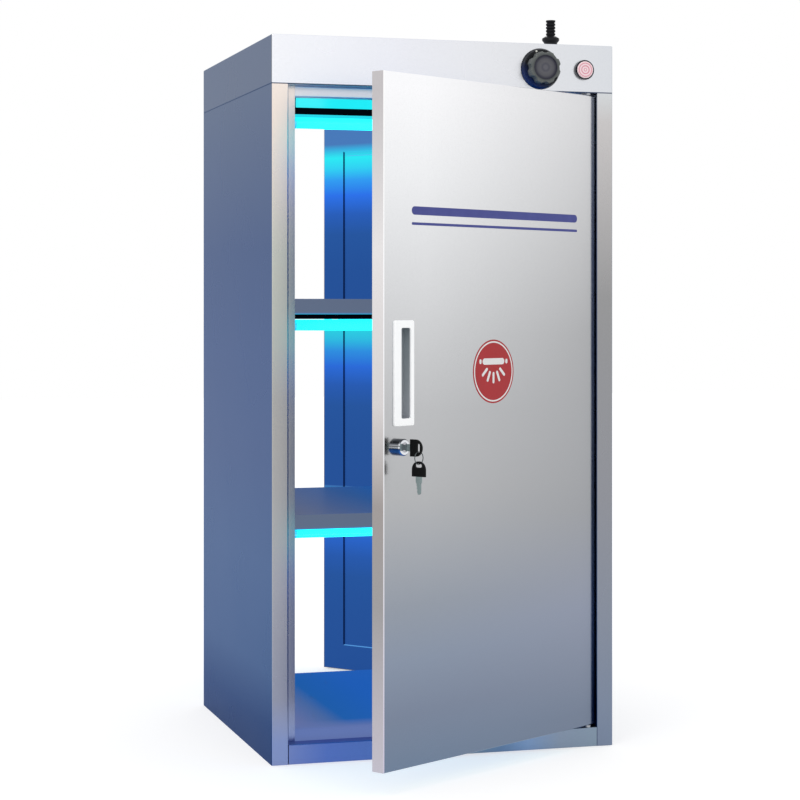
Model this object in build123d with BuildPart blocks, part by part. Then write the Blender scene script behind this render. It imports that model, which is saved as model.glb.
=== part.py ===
# Ultraviolet disinfection cabinet: a stainless sheet-metal cabinet with a front and a rear door,
# two shelves, three lamps that run from side to side, and a control header with a timer and a switch.
# Millimetres, +Z up. The origin is on the floor at the centre of the footprint, the front faces -Y.
from math import cos, radians, sin, sqrt
import os

from build123d import *

# Overall sizes
width = 500.0
depth = 475.0
height = 1000.0
header_height = 68.0
plinth_height = 27.0
floor_height = 43.5

# Sheet and folding
sheet = 1.2
door_sheet = 1.0
liner_sheet = 0.8
bend = 2.0
seat = 0.2
hem = 10.0

# Carcass
stile = 24.0
stop_depth = 24.0
lining_inset = 38.5
base_flange = 30.0
head_drop = 15.5
ceiling_drop = 5.0
lining_flange = 11.5
ceiling_flange = 14.0
rear_panel_width = 144.0
rear_panel_fold = 12.0

# Shelves
first_shelf = 340.0
shelf_pitch = 298.0
shelf_front = 21.5
shelf_rear_gap = 14.0
rail_leg = 14.0

# Lamps
lamp_setback = 140.0
lamp_drop = 36.0
tube_radius = 8.0
tube_glass = 364.0
tube_cap = 8.0
lamp_pin_radius = 1.2
lamp_pin_spacing = 5.0
lamp_pin_length = 6.0
holder_length = 14.0
holder_width = 18.0
reflector_width = 80.0
reflector_height = 10.0
reflector_drop = 17.0
reflector_length = 412.0
bracket_width = 10.0

# Doors
door_thickness = 20.0
side_gap = 2.0
door_low_gap = 3.5
door_top_gap = 3.5
groove_inset = 46.0
groove_width = 8.0
groove_depth = 3.0
front_door_open = 31.6
rear_door_open = 51.9

# Front pivot pins
pivot_inset = 10.0
pivot_depth = 5.0
pivot_radius = 2.5
pivot_running_gap = 0.05
pivot_reach = 14.0

# Rear door, which laps over the back of the carcass
rear_lap = 9.0
rear_gap = 2.0
rear_door_bottom = 2.0
rear_door_top = 938.0
rear_hinge_inset = 7.0
rear_barrel_radius = 5.0
rear_hinge_height = 60.0
rear_hinge_count = 3
rear_hinge_edge = 150.0
hinge_plate = 1.4

# Flush handles
handle_width = 37.6
handle_height = 136.0
handle_proud = 3.0
handle_inset = 37.1
handle_opening_shift = 2.8
handle_undercut = 2.8
handle_opening_width = 18.4
handle_opening_height = 117.0
cup_depth = 13.0
cup_wall = 1.2
front_handle_height = 541.0

# Cam locks and keys
lock_inset = 29.5
front_lock_height = 446.0
handle_above_lock = 94.0
rear_lock_height = 616.0
lock_head_radius = 11.0
lock_head_length = 9.5
lock_shank_radius = 9.0
plug_radius = 6.5
plug_gap = 0.08
cam_length = 29.0
cam_thickness = 2.0
front_cam_depth = 28.0
rear_cam_depth = 25.0
key_blade_height = 6.4
key_blade_thickness = 2.0
bow_radius = 11.0
bow_thickness = 2.8
bow_start = 19.7
bow_length = 19.7
bow_slot = 5.0
ring_radius = 8.0
ring_wire = 0.6

# Header controls
knob_place = (140.0, 964.0)
knob_radius = 29.0
knob_grip_radius = 23.0
knob_height = 22.0
knob_lobes = 8
shaft_radius = 3.0
button_place = (206.0, 964.3)
bezel_radius = 14.0
bezel_height = 5.0
lens_radius = 12.0
barrel_radius = 11.0
button_travel = 2.5

# Cable gland
gland_place = (178.0, -177.5)
gland_bore = 4.0
gland_tail = 8.0
gland_height = 18.0
relief_height = 23.5
relief_radius = 6.8
relief_ribs = 5

# Places that follow from the sizes above
left = -width / 2
right = width / 2
front = -depth / 2
back = depth / 2
seam = height - header_height
head_bottom = seam - head_drop
ceiling_height = seam - ceiling_drop
stop_face = front + stop_depth
lining_face = width / 2 - lining_inset
opening_half = width / 2 - stile
rail_half = lining_face - seat
inner_back = back - sheet - seat
shelf_heights = [first_shelf, first_shelf + shelf_pitch]
lamp_place = front + lamp_setback
mount_heights = [shelf_heights[0] - sheet, shelf_heights[1] - sheet, ceiling_height]


def save(piece, name):
    piece.part.label = name
    export_step(piece.part, f"parts/{name}.step")


def folded_section(plane, outline, side, gauge=sheet):
    # The section of a folded sheet: its visible outline, thickened to one side.
    with BuildSketch(plane) as section:
        with BuildLine():
            FilletPolyline(*outline, radius=bend)
            offset(amount=gauge, side=side)
        make_face()
    return section.sketch


def mirrored(piece):
    # The same piece for the right-hand side.
    with BuildPart() as copy:
        mirror(piece.part, about=Plane.YZ)
    return copy


def cross_plane(half_length):
    # A plane across the cabinet for profiles that run from left to right.
    return Plane.YZ.offset(-half_length)


os.makedirs("parts", exist_ok=True)

# Carcass: the side panels
# Each side panel carries its stile, its door stop and its rear flange in one folded sheet.
side_outline = [
    (left + lining_inset, stop_face),
    (left + stile, stop_face),
    (left + stile, front),
    (left, front),
    (left, back),
    (left + stile, back),
]
with BuildPart() as left_side_panel:
    extrude(folded_section(Plane.XY, side_outline, Side.RIGHT), amount=seam)
    with BuildSketch(Plane.XY):
        with Locations((left + sheet, front + sheet)):
            Rectangle(stile - 2 * sheet, depth - 2 * sheet, align=Align.MIN)
    extrude(amount=sheet)
    with BuildSketch(Plane.XY):
        with Locations((left + stile, stop_face - bend - seat)):
            Rectangle(lining_inset, bend + 3 * sheet, align=Align.MIN)
    extrude(amount=plinth_height + seat, mode=Mode.SUBTRACT)
save(left_side_panel, "left_side_panel")
save(mirrored(left_side_panel), "right_side_panel")

# Carcass: the inner linings
# The left lining has a slot that the front lock's cam turns into.
lining_front = stop_face + sheet + seat
lining_outline = [
    (left + lining_inset - lining_flange, lining_front),
    (left + lining_inset, lining_front),
    (left + lining_inset, inner_back),
    (left + sheet + seat + bend, inner_back),
]
lining_height = ceiling_height - plinth_height
with BuildPart() as right_inner_wall:
    lining_section = folded_section(
        Plane.XY.offset(plinth_height), lining_outline, Side.LEFT
    )
    extrude(lining_section, amount=lining_height)
    mirror(about=Plane.YZ, mode=Mode.REPLACE)
save(right_inner_wall, "right_inner_wall")

cam_slot_low = front_lock_height - cam_length
cam_slot_high = front_lock_height + lock_shank_radius
cam_slot_front = front + front_cam_depth - 1.0
cam_slot_depth = cam_thickness + 2.5
with BuildPart() as left_inner_wall:
    mirror(right_inner_wall.part, about=Plane.YZ)
    with BuildSketch(Plane.YZ.offset(left + lining_inset + sheet)):
        with Locations((cam_slot_front, cam_slot_low)):
            Rectangle(cam_slot_depth, cam_slot_high - cam_slot_low, align=Align.MIN)
    extrude(amount=-3 * sheet, mode=Mode.SUBTRACT)
save(left_inner_wall, "left_inner_wall")

# Carcass: the base frame
# A ring of channel section that stands on the floor between the stiles. Its front is the plinth.
base_width = 2 * (opening_half - seat)
with BuildPart() as base_frame:
    with BuildSketch():
        Rectangle(base_width, depth)
    extrude(amount=plinth_height)
    front_edges = base_frame.edges().filter_by(Axis.X).group_by(Axis.Y)[0]
    fillet(front_edges, radius=sheet * 0.8)
    with BuildSketch(Plane.XY.offset(sheet)):
        Rectangle(base_width - 2 * sheet, depth - 2 * sheet)
    extrude(amount=plinth_height - 2 * sheet, mode=Mode.SUBTRACT)
    with BuildSketch():
        Rectangle(base_width - 2 * base_flange, depth - 2 * base_flange)
    extrude(amount=plinth_height, mode=Mode.SUBTRACT)
save(base_frame, "base_frame")

# Carcass: the floor tray
floor_outline = [
    (stop_face, plinth_height),
    (stop_face, floor_height),
    (inner_back, floor_height),
    (inner_back, plinth_height),
]
with BuildPart() as floor_tray:
    floor_section = folded_section(cross_plane(rail_half), floor_outline, Side.RIGHT)
    extrude(floor_section, amount=2 * rail_half)
save(floor_tray, "floor_tray")

# Carcass: the head rails and the ceiling
# The front rail is the upper door stop. Its ledge carries the upper pivot pin.
head_outline = [
    (stop_face + hem, head_bottom),
    (stop_face, head_bottom),
    (stop_face, seam),
    (front + sheet + seat, seam),
]
with BuildPart() as front_head_rail:
    head_section = folded_section(cross_plane(rail_half), head_outline, Side.RIGHT)
    extrude(head_section, amount=2 * rail_half)
    with BuildSketch(Plane.XY.offset(seam)):
        with Locations((0, front + sheet + seat)):
            Rectangle(
                width - 2 * (sheet + seat),
                stop_depth - sheet - seat - bend,
                align=(Align.CENTER, Align.MIN),
            )
    extrude(amount=sheet)
save(front_head_rail, "front_head_rail")

rear_head_outline = [
    (inner_back - hem, head_bottom),
    (inner_back, head_bottom),
    (inner_back, seam + ceiling_flange),
]
with BuildPart() as rear_head_rail:
    rear_head_section = folded_section(cross_plane(rail_half), rear_head_outline, Side.LEFT)
    extrude(rear_head_section, amount=2 * rail_half)
save(rear_head_rail, "rear_head_rail")

ceiling_half = width / 2 - sheet - seat
ceiling_outline = [
    (-ceiling_half, ceiling_height + ceiling_flange),
    (-ceiling_half, ceiling_height),
    (ceiling_half, ceiling_height),
    (ceiling_half, ceiling_height + ceiling_flange),
]
ceiling_back = inner_back - sheet - seat
with BuildPart() as ceiling_panel:
    ceiling_section = folded_section(
        Plane.XZ.offset(-lining_front), ceiling_outline, Side.LEFT
    )
    extrude(ceiling_section, amount=lining_front - ceiling_back)
save(ceiling_panel, "ceiling_panel")

# Carcass: the fixed rear panel beside the rear door
# Its folded edge stops between the floor and the head rail and clears the rear lock's cam.
rear_panel_edge = left + rear_panel_width
rear_slot_low = rear_lock_height - cam_length
rear_slot_high = rear_lock_height + lock_shank_radius
rear_outline = [
    (left + stile + seat, back),
    (rear_panel_edge, back),
    (rear_panel_edge, back - rear_panel_fold),
]
with BuildPart() as rear_fixed_panel:
    rear_section = folded_section(
        Plane.XY.offset(floor_height + seat), rear_outline, Side.RIGHT
    )
    extrude(rear_section, amount=head_bottom - floor_height - 2 * seat)
    with BuildSketch(Plane.XY.offset(plinth_height + seat)):
        with Locations((left + stile + seat, back - sheet)):
            Rectangle(rear_panel_width - stile - bend, sheet, align=Align.MIN)
    extrude(amount=seam - plinth_height - 2 * seat)
    with BuildSketch(Plane.YZ.offset(rear_panel_edge + sheet)):
        with Locations((back - rear_panel_fold - 1.0, rear_slot_low)):
            Rectangle(
                rear_panel_fold - sheet, rear_slot_high - rear_slot_low, align=Align.MIN
            )
    extrude(amount=-3 * sheet, mode=Mode.SUBTRACT)
save(rear_fixed_panel, "rear_fixed_panel")

# Header: the cover, an upturned pan with its control and cable holes
with BuildPart() as header_cover:
    with BuildSketch(Plane.XY.offset(seam)):
        Rectangle(width, depth)
    extrude(amount=header_height)
    fillet(header_cover.edges().filter_by(Axis.Z), radius=bend)
    fillet(header_cover.faces().sort_by(Axis.Z)[-1].edges(), radius=bend)
    offset(amount=-sheet, openings=header_cover.faces().sort_by(Axis.Z)[0])
    with BuildSketch(Plane.XZ.offset(-front + sheet)):
        with Locations(knob_place):
            Circle(shaft_radius + 2.2)
        with Locations(button_place):
            Circle(barrel_radius + seat)
    extrude(amount=-4 * sheet, mode=Mode.SUBTRACT)
    with BuildSketch(Plane.XY.offset(height + sheet)):
        with Locations(gland_place):
            Circle(gland_tail + seat)
    extrude(amount=-4 * sheet, mode=Mode.SUBTRACT)
save(header_cover, "header_cover")

# Shelves and the rails that they lie on
for shelf_name, top in zip(["lower_shelf", "upper_shelf"], shelf_heights):
    shelf_back = back - shelf_rear_gap
    shelf_outline = [
        (stop_face + hem, top - shelf_front),
        (stop_face, top - shelf_front),
        (stop_face, top),
        (shelf_back, top),
        (shelf_back, top - shelf_front),
        (shelf_back - hem, top - shelf_front),
    ]
    with BuildPart() as shelf:
        shelf_section = folded_section(cross_plane(rail_half), shelf_outline, Side.RIGHT)
        extrude(shelf_section, amount=2 * rail_half)
    save(shelf, shelf_name)

rail_front = stop_face + hem + 2.0
rail_length = shelf_back - hem - 2.0 - rail_front
with BuildPart() as shelf_rails:
    for under in [top - sheet for top in shelf_heights]:
        rail_outline = [
            (-lining_face, under - rail_leg),
            (-lining_face, under),
            (-lining_face + rail_leg, under),
        ]
        rail_section = folded_section(
            Plane.XZ.offset(-rail_front), rail_outline, Side.RIGHT
        )
        extrude(rail_section, amount=-rail_length)
    mirror(about=Plane.YZ)
save(shelf_rails, "shelf_rails")

# Lamps: the reflectors, their brackets, holders, tubes and caps
lamp_half = tube_glass / 2
holder_start = lamp_half + tube_cap
reflector_half = reflector_length / 2
bracket_half = lining_face - rail_leg - 3.0
with BuildPart() as lamp_reflectors:
    for mount in mount_heights:
        lip = mount - reflector_drop - reflector_height
        crown = mount - reflector_drop
        trough = [
            (lamp_place - reflector_width / 2, lip),
            (lamp_place - reflector_width / 2 + 2.0, crown),
            (lamp_place + reflector_width / 2 - 2.0, crown),
            (lamp_place + reflector_width / 2, lip),
        ]
        trough_section = folded_section(
            cross_plane(reflector_half), trough, Side.RIGHT, liner_sheet
        )
        extrude(trough_section, amount=reflector_length)
save(lamp_reflectors, "lamp_reflectors")

with BuildPart() as lamp_brackets:
    for mount in mount_heights:
        foot = mount - reflector_drop + sheet
        bracket_outline = [
            (lamp_place - 24.0, mount),
            (lamp_place - 10.0, mount),
            (lamp_place - 10.0, foot),
            (lamp_place + 4.0, foot),
        ]
        bracket_section = folded_section(
            cross_plane(bracket_half), bracket_outline, Side.RIGHT
        )
        extrude(bracket_section, amount=bracket_width)
    mirror(about=Plane.YZ)
save(lamp_brackets, "lamp_brackets")

with BuildPart() as lamp_holders:
    for mount in mount_heights:
        axis_height = mount - lamp_drop
        holder_top = mount - reflector_drop - liner_sheet
        with BuildSketch(Plane.YZ.offset(holder_start)):
            with Locations((lamp_place, axis_height)):
                Circle(holder_width / 2)
                Rectangle(
                    holder_width, holder_top - axis_height, align=(Align.CENTER, Align.MIN)
                )
        extrude(amount=holder_length)
        with BuildSketch(Plane.YZ.offset(holder_start)):
            with Locations((lamp_place, axis_height + lamp_pin_spacing / 2)):
                Circle(lamp_pin_radius + 0.2)
            with Locations((lamp_place, axis_height - lamp_pin_spacing / 2)):
                Circle(lamp_pin_radius + 0.2)
        extrude(amount=lamp_pin_length + 1.0, mode=Mode.SUBTRACT)
    mirror(about=Plane.YZ)
save(lamp_holders, "lamp_holders")

with BuildPart() as uv_tubes:
    for mount in mount_heights:
        with BuildSketch(Plane.YZ.offset(-lamp_half)):
            with Locations((lamp_place, mount - lamp_drop)):
                Circle(tube_radius)
        extrude(amount=tube_glass)
save(uv_tubes, "uv_tubes")

with BuildPart() as tube_caps:
    for mount in mount_heights:
        axis_height = mount - lamp_drop
        with BuildSketch(Plane.YZ.offset(lamp_half)):
            with Locations((lamp_place, axis_height)):
                Circle(tube_radius)
        extrude(amount=tube_cap - seat)
        with BuildSketch(Plane.YZ.offset(lamp_half)):
            with Locations((lamp_place, axis_height + lamp_pin_spacing / 2)):
                Circle(lamp_pin_radius)
            with Locations((lamp_place, axis_height - lamp_pin_spacing / 2)):
                Circle(lamp_pin_radius)
        extrude(amount=tube_cap + lamp_pin_length)
    mirror(about=Plane.YZ)
save(tube_caps, "tube_caps")

# Header: ballasts and terminal block on top of the ceiling
equipment_floor = ceiling_height + sheet
ballast_size = (170.0, 34.0, 22.0)
ballast_foot = 210.0
ballast_pitch = 62.0
with BuildPart() as ballasts:
    with BuildSketch(Plane.XY.offset(equipment_floor)):
        with Locations((-70.0, 0)):
            with GridLocations(0, ballast_pitch, 1, 3):
                Rectangle(ballast_foot, ballast_size[1])
    extrude(amount=sheet)
    with BuildSketch(Plane.XY.offset(equipment_floor)):
        with Locations((-70.0, 0)):
            with GridLocations(0, ballast_pitch, 1, 3):
                Rectangle(ballast_size[0], ballast_size[1])
    extrude(amount=ballast_size[2])
    fillet(ballasts.edges().filter_by(Axis.X).group_by(Axis.Z)[-1], radius=3.0)
save(ballasts, "ballasts")

terminal_pitch = 10.0
terminal_ways = 6
with BuildPart() as terminal_block:
    with BuildSketch(Plane.XY.offset(equipment_floor)):
        with Locations((130.0, 40.0)):
            Rectangle(terminal_pitch * terminal_ways, 22.0)
    extrude(amount=14.0)
    with BuildSketch(Plane.XY.offset(equipment_floor + 14.0)):
        with Locations((130.0, 40.0)):
            with GridLocations(terminal_pitch, 11.0, terminal_ways, 2):
                Circle(2.6)
    extrude(amount=-6.0, mode=Mode.SUBTRACT)
save(terminal_block, "terminal_block")

# Header: the timer and its knob
knob_plane = Plane(
    origin=(knob_place[0], front, knob_place[1]), x_dir=(1, 0, 0), z_dir=(0, -1, 0)
)
bush_radius = shaft_radius + 2.0
with BuildPart() as timer_body:
    with BuildSketch(knob_plane.offset(-sheet - seat)):
        RectangleRounded(46.0, 46.0, 4.0)
    extrude(amount=-30.0)
    with BuildSketch(knob_plane.offset(-sheet - seat)):
        Circle(bush_radius)
    extrude(amount=sheet + seat + 2.5)
    with BuildSketch(knob_plane.offset(3.0)):
        Circle(shaft_radius + 0.05)
    extrude(amount=-20.0, mode=Mode.SUBTRACT)
save(timer_body, "timer_body")

with BuildPart() as timer_shaft:
    with BuildSketch(knob_plane.offset(15.0)):
        Circle(shaft_radius)
    extrude(amount=-31.0)
    with BuildSketch(knob_plane.offset(15.0)):
        with Locations((0, shaft_radius * 0.6)):
            Rectangle(2 * shaft_radius, shaft_radius, align=(Align.CENTER, Align.MIN))
    extrude(amount=-10.0, mode=Mode.SUBTRACT)
save(timer_shaft, "timer_shaft")

# The knob has a wide bevelled skirt and a fluted grip with a shallow dish in its face.
knob_gap = 1.0
skirt_height = 6.0
with BuildPart() as timer_knob:
    with BuildSketch(knob_plane.offset(knob_gap)):
        Circle(knob_radius)
    extrude(amount=skirt_height, taper=22)
    with BuildSketch(knob_plane.offset(knob_gap)) as grip:
        Circle(knob_grip_radius)
        with PolarLocations(knob_grip_radius + 4.5, knob_lobes):
            Circle(7.0, mode=Mode.SUBTRACT)
        fillet(grip.vertices(), radius=1.8)
    extrude(amount=knob_height)
    face_edges = timer_knob.faces().sort_by(Axis.Y)[0].edges()
    chamfer(face_edges, length=1.2)
    with BuildSketch(knob_plane.offset(knob_gap + knob_height)):
        Circle(knob_grip_radius - 6.5)
    extrude(amount=-1.0, taper=20, mode=Mode.SUBTRACT)
    with BuildSketch(knob_plane.offset(knob_gap)):
        Circle(knob_grip_radius - 6.5)
        Circle(bush_radius + 3.0, mode=Mode.SUBTRACT)
    extrude(amount=knob_height - 5.0, mode=Mode.SUBTRACT)
    with BuildSketch(knob_plane.offset(knob_gap)):
        Circle(knob_grip_radius - 6.5)
    extrude(amount=3.0, mode=Mode.SUBTRACT)
    with BuildSketch(knob_plane.offset(knob_gap)):
        Circle(shaft_radius + 0.02)
    extrude(amount=14.5, mode=Mode.SUBTRACT)
save(timer_knob, "timer_knob")

# Header: the lit push button
button_plane = Plane(
    origin=(button_place[0], front, button_place[1]), x_dir=(1, 0, 0), z_dir=(0, -1, 0)
)
stem_radius = barrel_radius - 2.2
bezel_floor = 1.6
with BuildPart() as button_bezel:
    with BuildSketch(button_plane):
        Circle(bezel_radius)
    extrude(amount=bezel_height)
    chamfer(button_bezel.faces().sort_by(Axis.Y)[0].edges(), length=0.9)
    with BuildSketch(button_plane):
        Circle(barrel_radius)
    extrude(amount=-18.0)
    with BuildSketch(button_plane.offset(bezel_floor)):
        Circle(lens_radius + 0.25)
    extrude(amount=bezel_height, mode=Mode.SUBTRACT)
    with BuildSketch(button_plane.offset(bezel_floor)):
        Circle(stem_radius + 0.25)
    extrude(amount=-20.0, mode=Mode.SUBTRACT)
save(button_bezel, "button_bezel")

lens_rest = bezel_floor + button_travel + 0.3
with BuildPart() as power_button:
    with BuildSketch(button_plane.offset(lens_rest)):
        Circle(lens_radius)
    extrude(amount=2.2)
    fillet(power_button.faces().sort_by(Axis.Y)[0].edges(), radius=1.2)
    with BuildSketch(button_plane.offset(lens_rest)):
        Circle(stem_radius)
    extrude(amount=-16.0)
save(power_button, "power_button")

with BuildPart() as button_nut:
    with BuildSketch(button_plane.offset(-sheet)):
        RegularPolygon(14.5, 6)
        Circle(barrel_radius + 0.1, mode=Mode.SUBTRACT)
    extrude(amount=-4.0)
save(button_nut, "button_nut")

with BuildPart() as button_switch:
    with BuildSketch(button_plane.offset(-18.0)):
        RectangleRounded(24.0, 24.0, 2.0)
    extrude(amount=-18.0)
    with BuildSketch(button_plane.offset(-36.0)):
        with GridLocations(8.0, 12.0, 2, 2):
            Rectangle(0.8, 4.8)
    extrude(amount=-8.0)
save(button_switch, "button_switch")

# Header: the cable gland with its ribbed strain relief
gland_plane = Plane.XZ.offset(-gland_place[1])
gland_axis = Axis((gland_place[0], gland_place[1], 0), (0, 0, 1))
gland_profile = [
    (gland_bore, -16.0),
    (gland_tail, -16.0),
    (gland_tail, 0.0),
    (12.0, 0.0),
    (12.0, 2.5),
    (9.5, 4.0),
    (9.5, 9.0),
    (12.4, 12.5),
    (12.4, 15.5),
    (8.6, gland_height),
    (gland_bore, gland_height),
]
with BuildPart() as gland_body:
    with BuildSketch(gland_plane):
        with BuildLine():
            Polyline(
                *[(gland_place[0] + r, height + z) for r, z in gland_profile], close=True
            )
        make_face()
    revolve(axis=gland_axis)
save(gland_body, "gland_body")

with BuildPart() as gland_nut:
    with BuildSketch(Plane.XY.offset(height - sheet)):
        with Locations(gland_place):
            RegularPolygon(13.0, 6)
            Circle(gland_tail + 0.05, mode=Mode.SUBTRACT)
    extrude(amount=-5.0)
save(gland_nut, "gland_nut")

rib_pitch = relief_height / relief_ribs
relief_profile = [(gland_bore, 0.0)]
for rib in range(relief_ribs):
    rib_foot = rib * rib_pitch
    relief_profile += [
        (relief_radius - 1.2, rib_foot),
        (relief_radius - 1.2, rib_foot + 0.35 * rib_pitch),
        (relief_radius, rib_foot + 0.5 * rib_pitch),
        (relief_radius, rib_foot + rib_pitch),
    ]
relief_profile.append((gland_bore, relief_height))
relief_foot = height + gland_height
with BuildPart() as strain_relief:
    with BuildSketch(gland_plane):
        with BuildLine():
            Polyline(
                *[(gland_place[0] + r, relief_foot + z) for r, z in relief_profile],
                close=True,
            )
        make_face()
    revolve(axis=gland_axis)
save(strain_relief, "strain_relief")

# Doors: the frames of reference
# On each leaf X runs along the leaf from the hinge axis, Y is up and Z points out of the leaf.
front_angle = radians(front_door_open)
rear_angle = radians(rear_door_open)
front_hinge = (opening_half - side_gap - pivot_inset, front + pivot_depth)
front_leaf = Plane(
    origin=(front_hinge[0], front_hinge[1], 0),
    x_dir=(cos(front_angle), sin(front_angle), 0),
    z_dir=(sin(front_angle), -cos(front_angle), 0),
)
front_free = -(2 * (opening_half - side_gap) - pivot_inset)
front_bottom = plinth_height + door_low_gap
front_top = seam - door_top_gap

rear_hinge = (right - rear_hinge_inset, back + rear_barrel_radius + 0.5)
rear_leaf = Plane(
    origin=(rear_hinge[0], rear_hinge[1], 0),
    x_dir=(-cos(rear_angle), sin(rear_angle), 0),
    z_dir=(sin(rear_angle), cos(rear_angle), 0),
)
rear_free = rear_hinge[0] - (rear_panel_edge - rear_lap)
rear_edge = rear_hinge_inset
rear_face = back + rear_gap + door_thickness - rear_hinge[1]


def leaf_distance(free, edge, inset):
    # A place at a distance in from the free edge, along the leaf.
    toward = 1 if free > edge else -1
    return free - toward * inset


def opening_at(free, edge, handle_at):
    # The finger opening lies a little off the middle of the handle, towards the hinge.
    toward = 1 if free > edge else -1
    return (handle_at[0] - toward * handle_opening_shift, handle_at[1])


def door_skin(leaf, free, edge, face, bottom, top, handle_at, lock_at, pin_hole):
    # The outer pan of a door: rounded along its face, open at the back.
    with BuildPart() as skin:
        with BuildSketch(leaf.offset(face)):
            with Locations(((free + edge) / 2, (bottom + top) / 2)):
                Rectangle(abs(edge - free), top - bottom)
        extrude(amount=-door_thickness)
        outward = Axis(leaf.origin, leaf.z_dir)
        fillet(skin.faces().sort_by(outward)[-1].edges(), radius=door_sheet * 1.5)
        offset(amount=-door_sheet, openings=skin.faces().sort_by(outward)[0])
        with BuildSketch(leaf.offset(face + door_sheet)):
            with Locations(opening_at(free, edge, handle_at)):
                Rectangle(
                    handle_opening_width + 2 * (handle_undercut + cup_wall + seat),
                    handle_opening_height + 2 * (cup_wall + seat),
                )
            with Locations(lock_at):
                Circle(lock_shank_radius + seat)
        extrude(amount=-3 * door_sheet, mode=Mode.SUBTRACT)
        if pin_hole:
            with BuildSketch(Plane.XY.offset(bottom - door_sheet)):
                with Locations((leaf.origin.X, leaf.origin.Y)):
                    Circle(pivot_radius + 0.7)
            extrude(amount=top - bottom + 2 * door_sheet, mode=Mode.SUBTRACT)
    return skin


def door_liner(leaf, free, edge, face, bottom, top, lock_at):
    # The inner panel, let into the pan, with a pressed channel that runs round it.
    inner_width = abs(edge - free) - 2 * (door_sheet + seat)
    inner_height = top - bottom - 2 * (door_sheet + seat)
    middle = ((free + edge) / 2, (bottom + top) / 2)
    back_plane = leaf.offset(face - door_thickness)
    ring_width = abs(edge - free) - 2 * groove_inset
    ring_height = top - bottom - 2 * groove_inset
    rib_width = groove_width + 2 * liner_sheet
    with BuildPart() as liner:
        with BuildSketch(back_plane):
            with Locations(middle):
                Rectangle(inner_width, inner_height)
        extrude(amount=liner_sheet)
        with BuildSketch(back_plane):
            with Locations(middle):
                Rectangle(ring_width + rib_width, ring_height + rib_width)
                Rectangle(
                    ring_width - rib_width, ring_height - rib_width, mode=Mode.SUBTRACT
                )
        extrude(amount=groove_depth + liner_sheet, taper=20)
        with BuildSketch(back_plane):
            with Locations(middle):
                Rectangle(ring_width + groove_width, ring_height + groove_width)
                Rectangle(
                    ring_width - groove_width,
                    ring_height - groove_width,
                    mode=Mode.SUBTRACT,
                )
        extrude(amount=groove_depth, taper=20, mode=Mode.SUBTRACT)
        with BuildSketch(back_plane):
            with Locations(lock_at):
                Circle(lock_shank_radius + seat)
        extrude(amount=groove_depth + 2 * liner_sheet, mode=Mode.SUBTRACT)
    return liner


def handle_parts(leaf, free, edge, face, handle_at):
    # The flush handle: a pressed cup let into the door and the raised frame that traps its flange.
    finger_at = opening_at(free, edge, handle_at)
    cup_width = handle_opening_width + 2 * handle_undercut
    flange = 0.8
    flange_width = handle_width - 3.0
    flange_height = handle_height - 3.0
    with BuildPart() as cup:
        with BuildSketch(leaf.offset(face)):
            with Locations(handle_at):
                RectangleRounded(flange_width, flange_height, 2.0)
        extrude(amount=flange)
        with BuildSketch(leaf.offset(face)):
            with Locations(finger_at):
                Rectangle(cup_width + 2 * cup_wall, handle_opening_height + 2 * cup_wall)
        extrude(amount=-cup_depth - cup_wall)
        with BuildSketch(leaf.offset(face + flange)):
            with Locations(finger_at):
                RectangleRounded(cup_width, handle_opening_height, 2.0)
        extrude(amount=-cup_depth - flange, mode=Mode.SUBTRACT)
    with BuildPart() as frame:
        with BuildSketch(leaf.offset(face)):
            with Locations(handle_at):
                RectangleRounded(handle_width, handle_height, 3.0)
        extrude(amount=handle_proud)
        outward = Axis(leaf.origin, leaf.z_dir)
        fillet(frame.faces().sort_by(outward)[-1].edges(), radius=1.0)
        with BuildSketch(leaf.offset(face)):
            with Locations(handle_at):
                RectangleRounded(flange_width + seat, flange_height + seat, 2.0)
        extrude(amount=flange + 0.05, mode=Mode.SUBTRACT)
        with BuildSketch(leaf.offset(face)):
            with Locations(finger_at):
                RectangleRounded(handle_opening_width, handle_opening_height, 2.5)
        extrude(amount=2 * handle_proud, mode=Mode.SUBTRACT)
    return cup, frame


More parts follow.
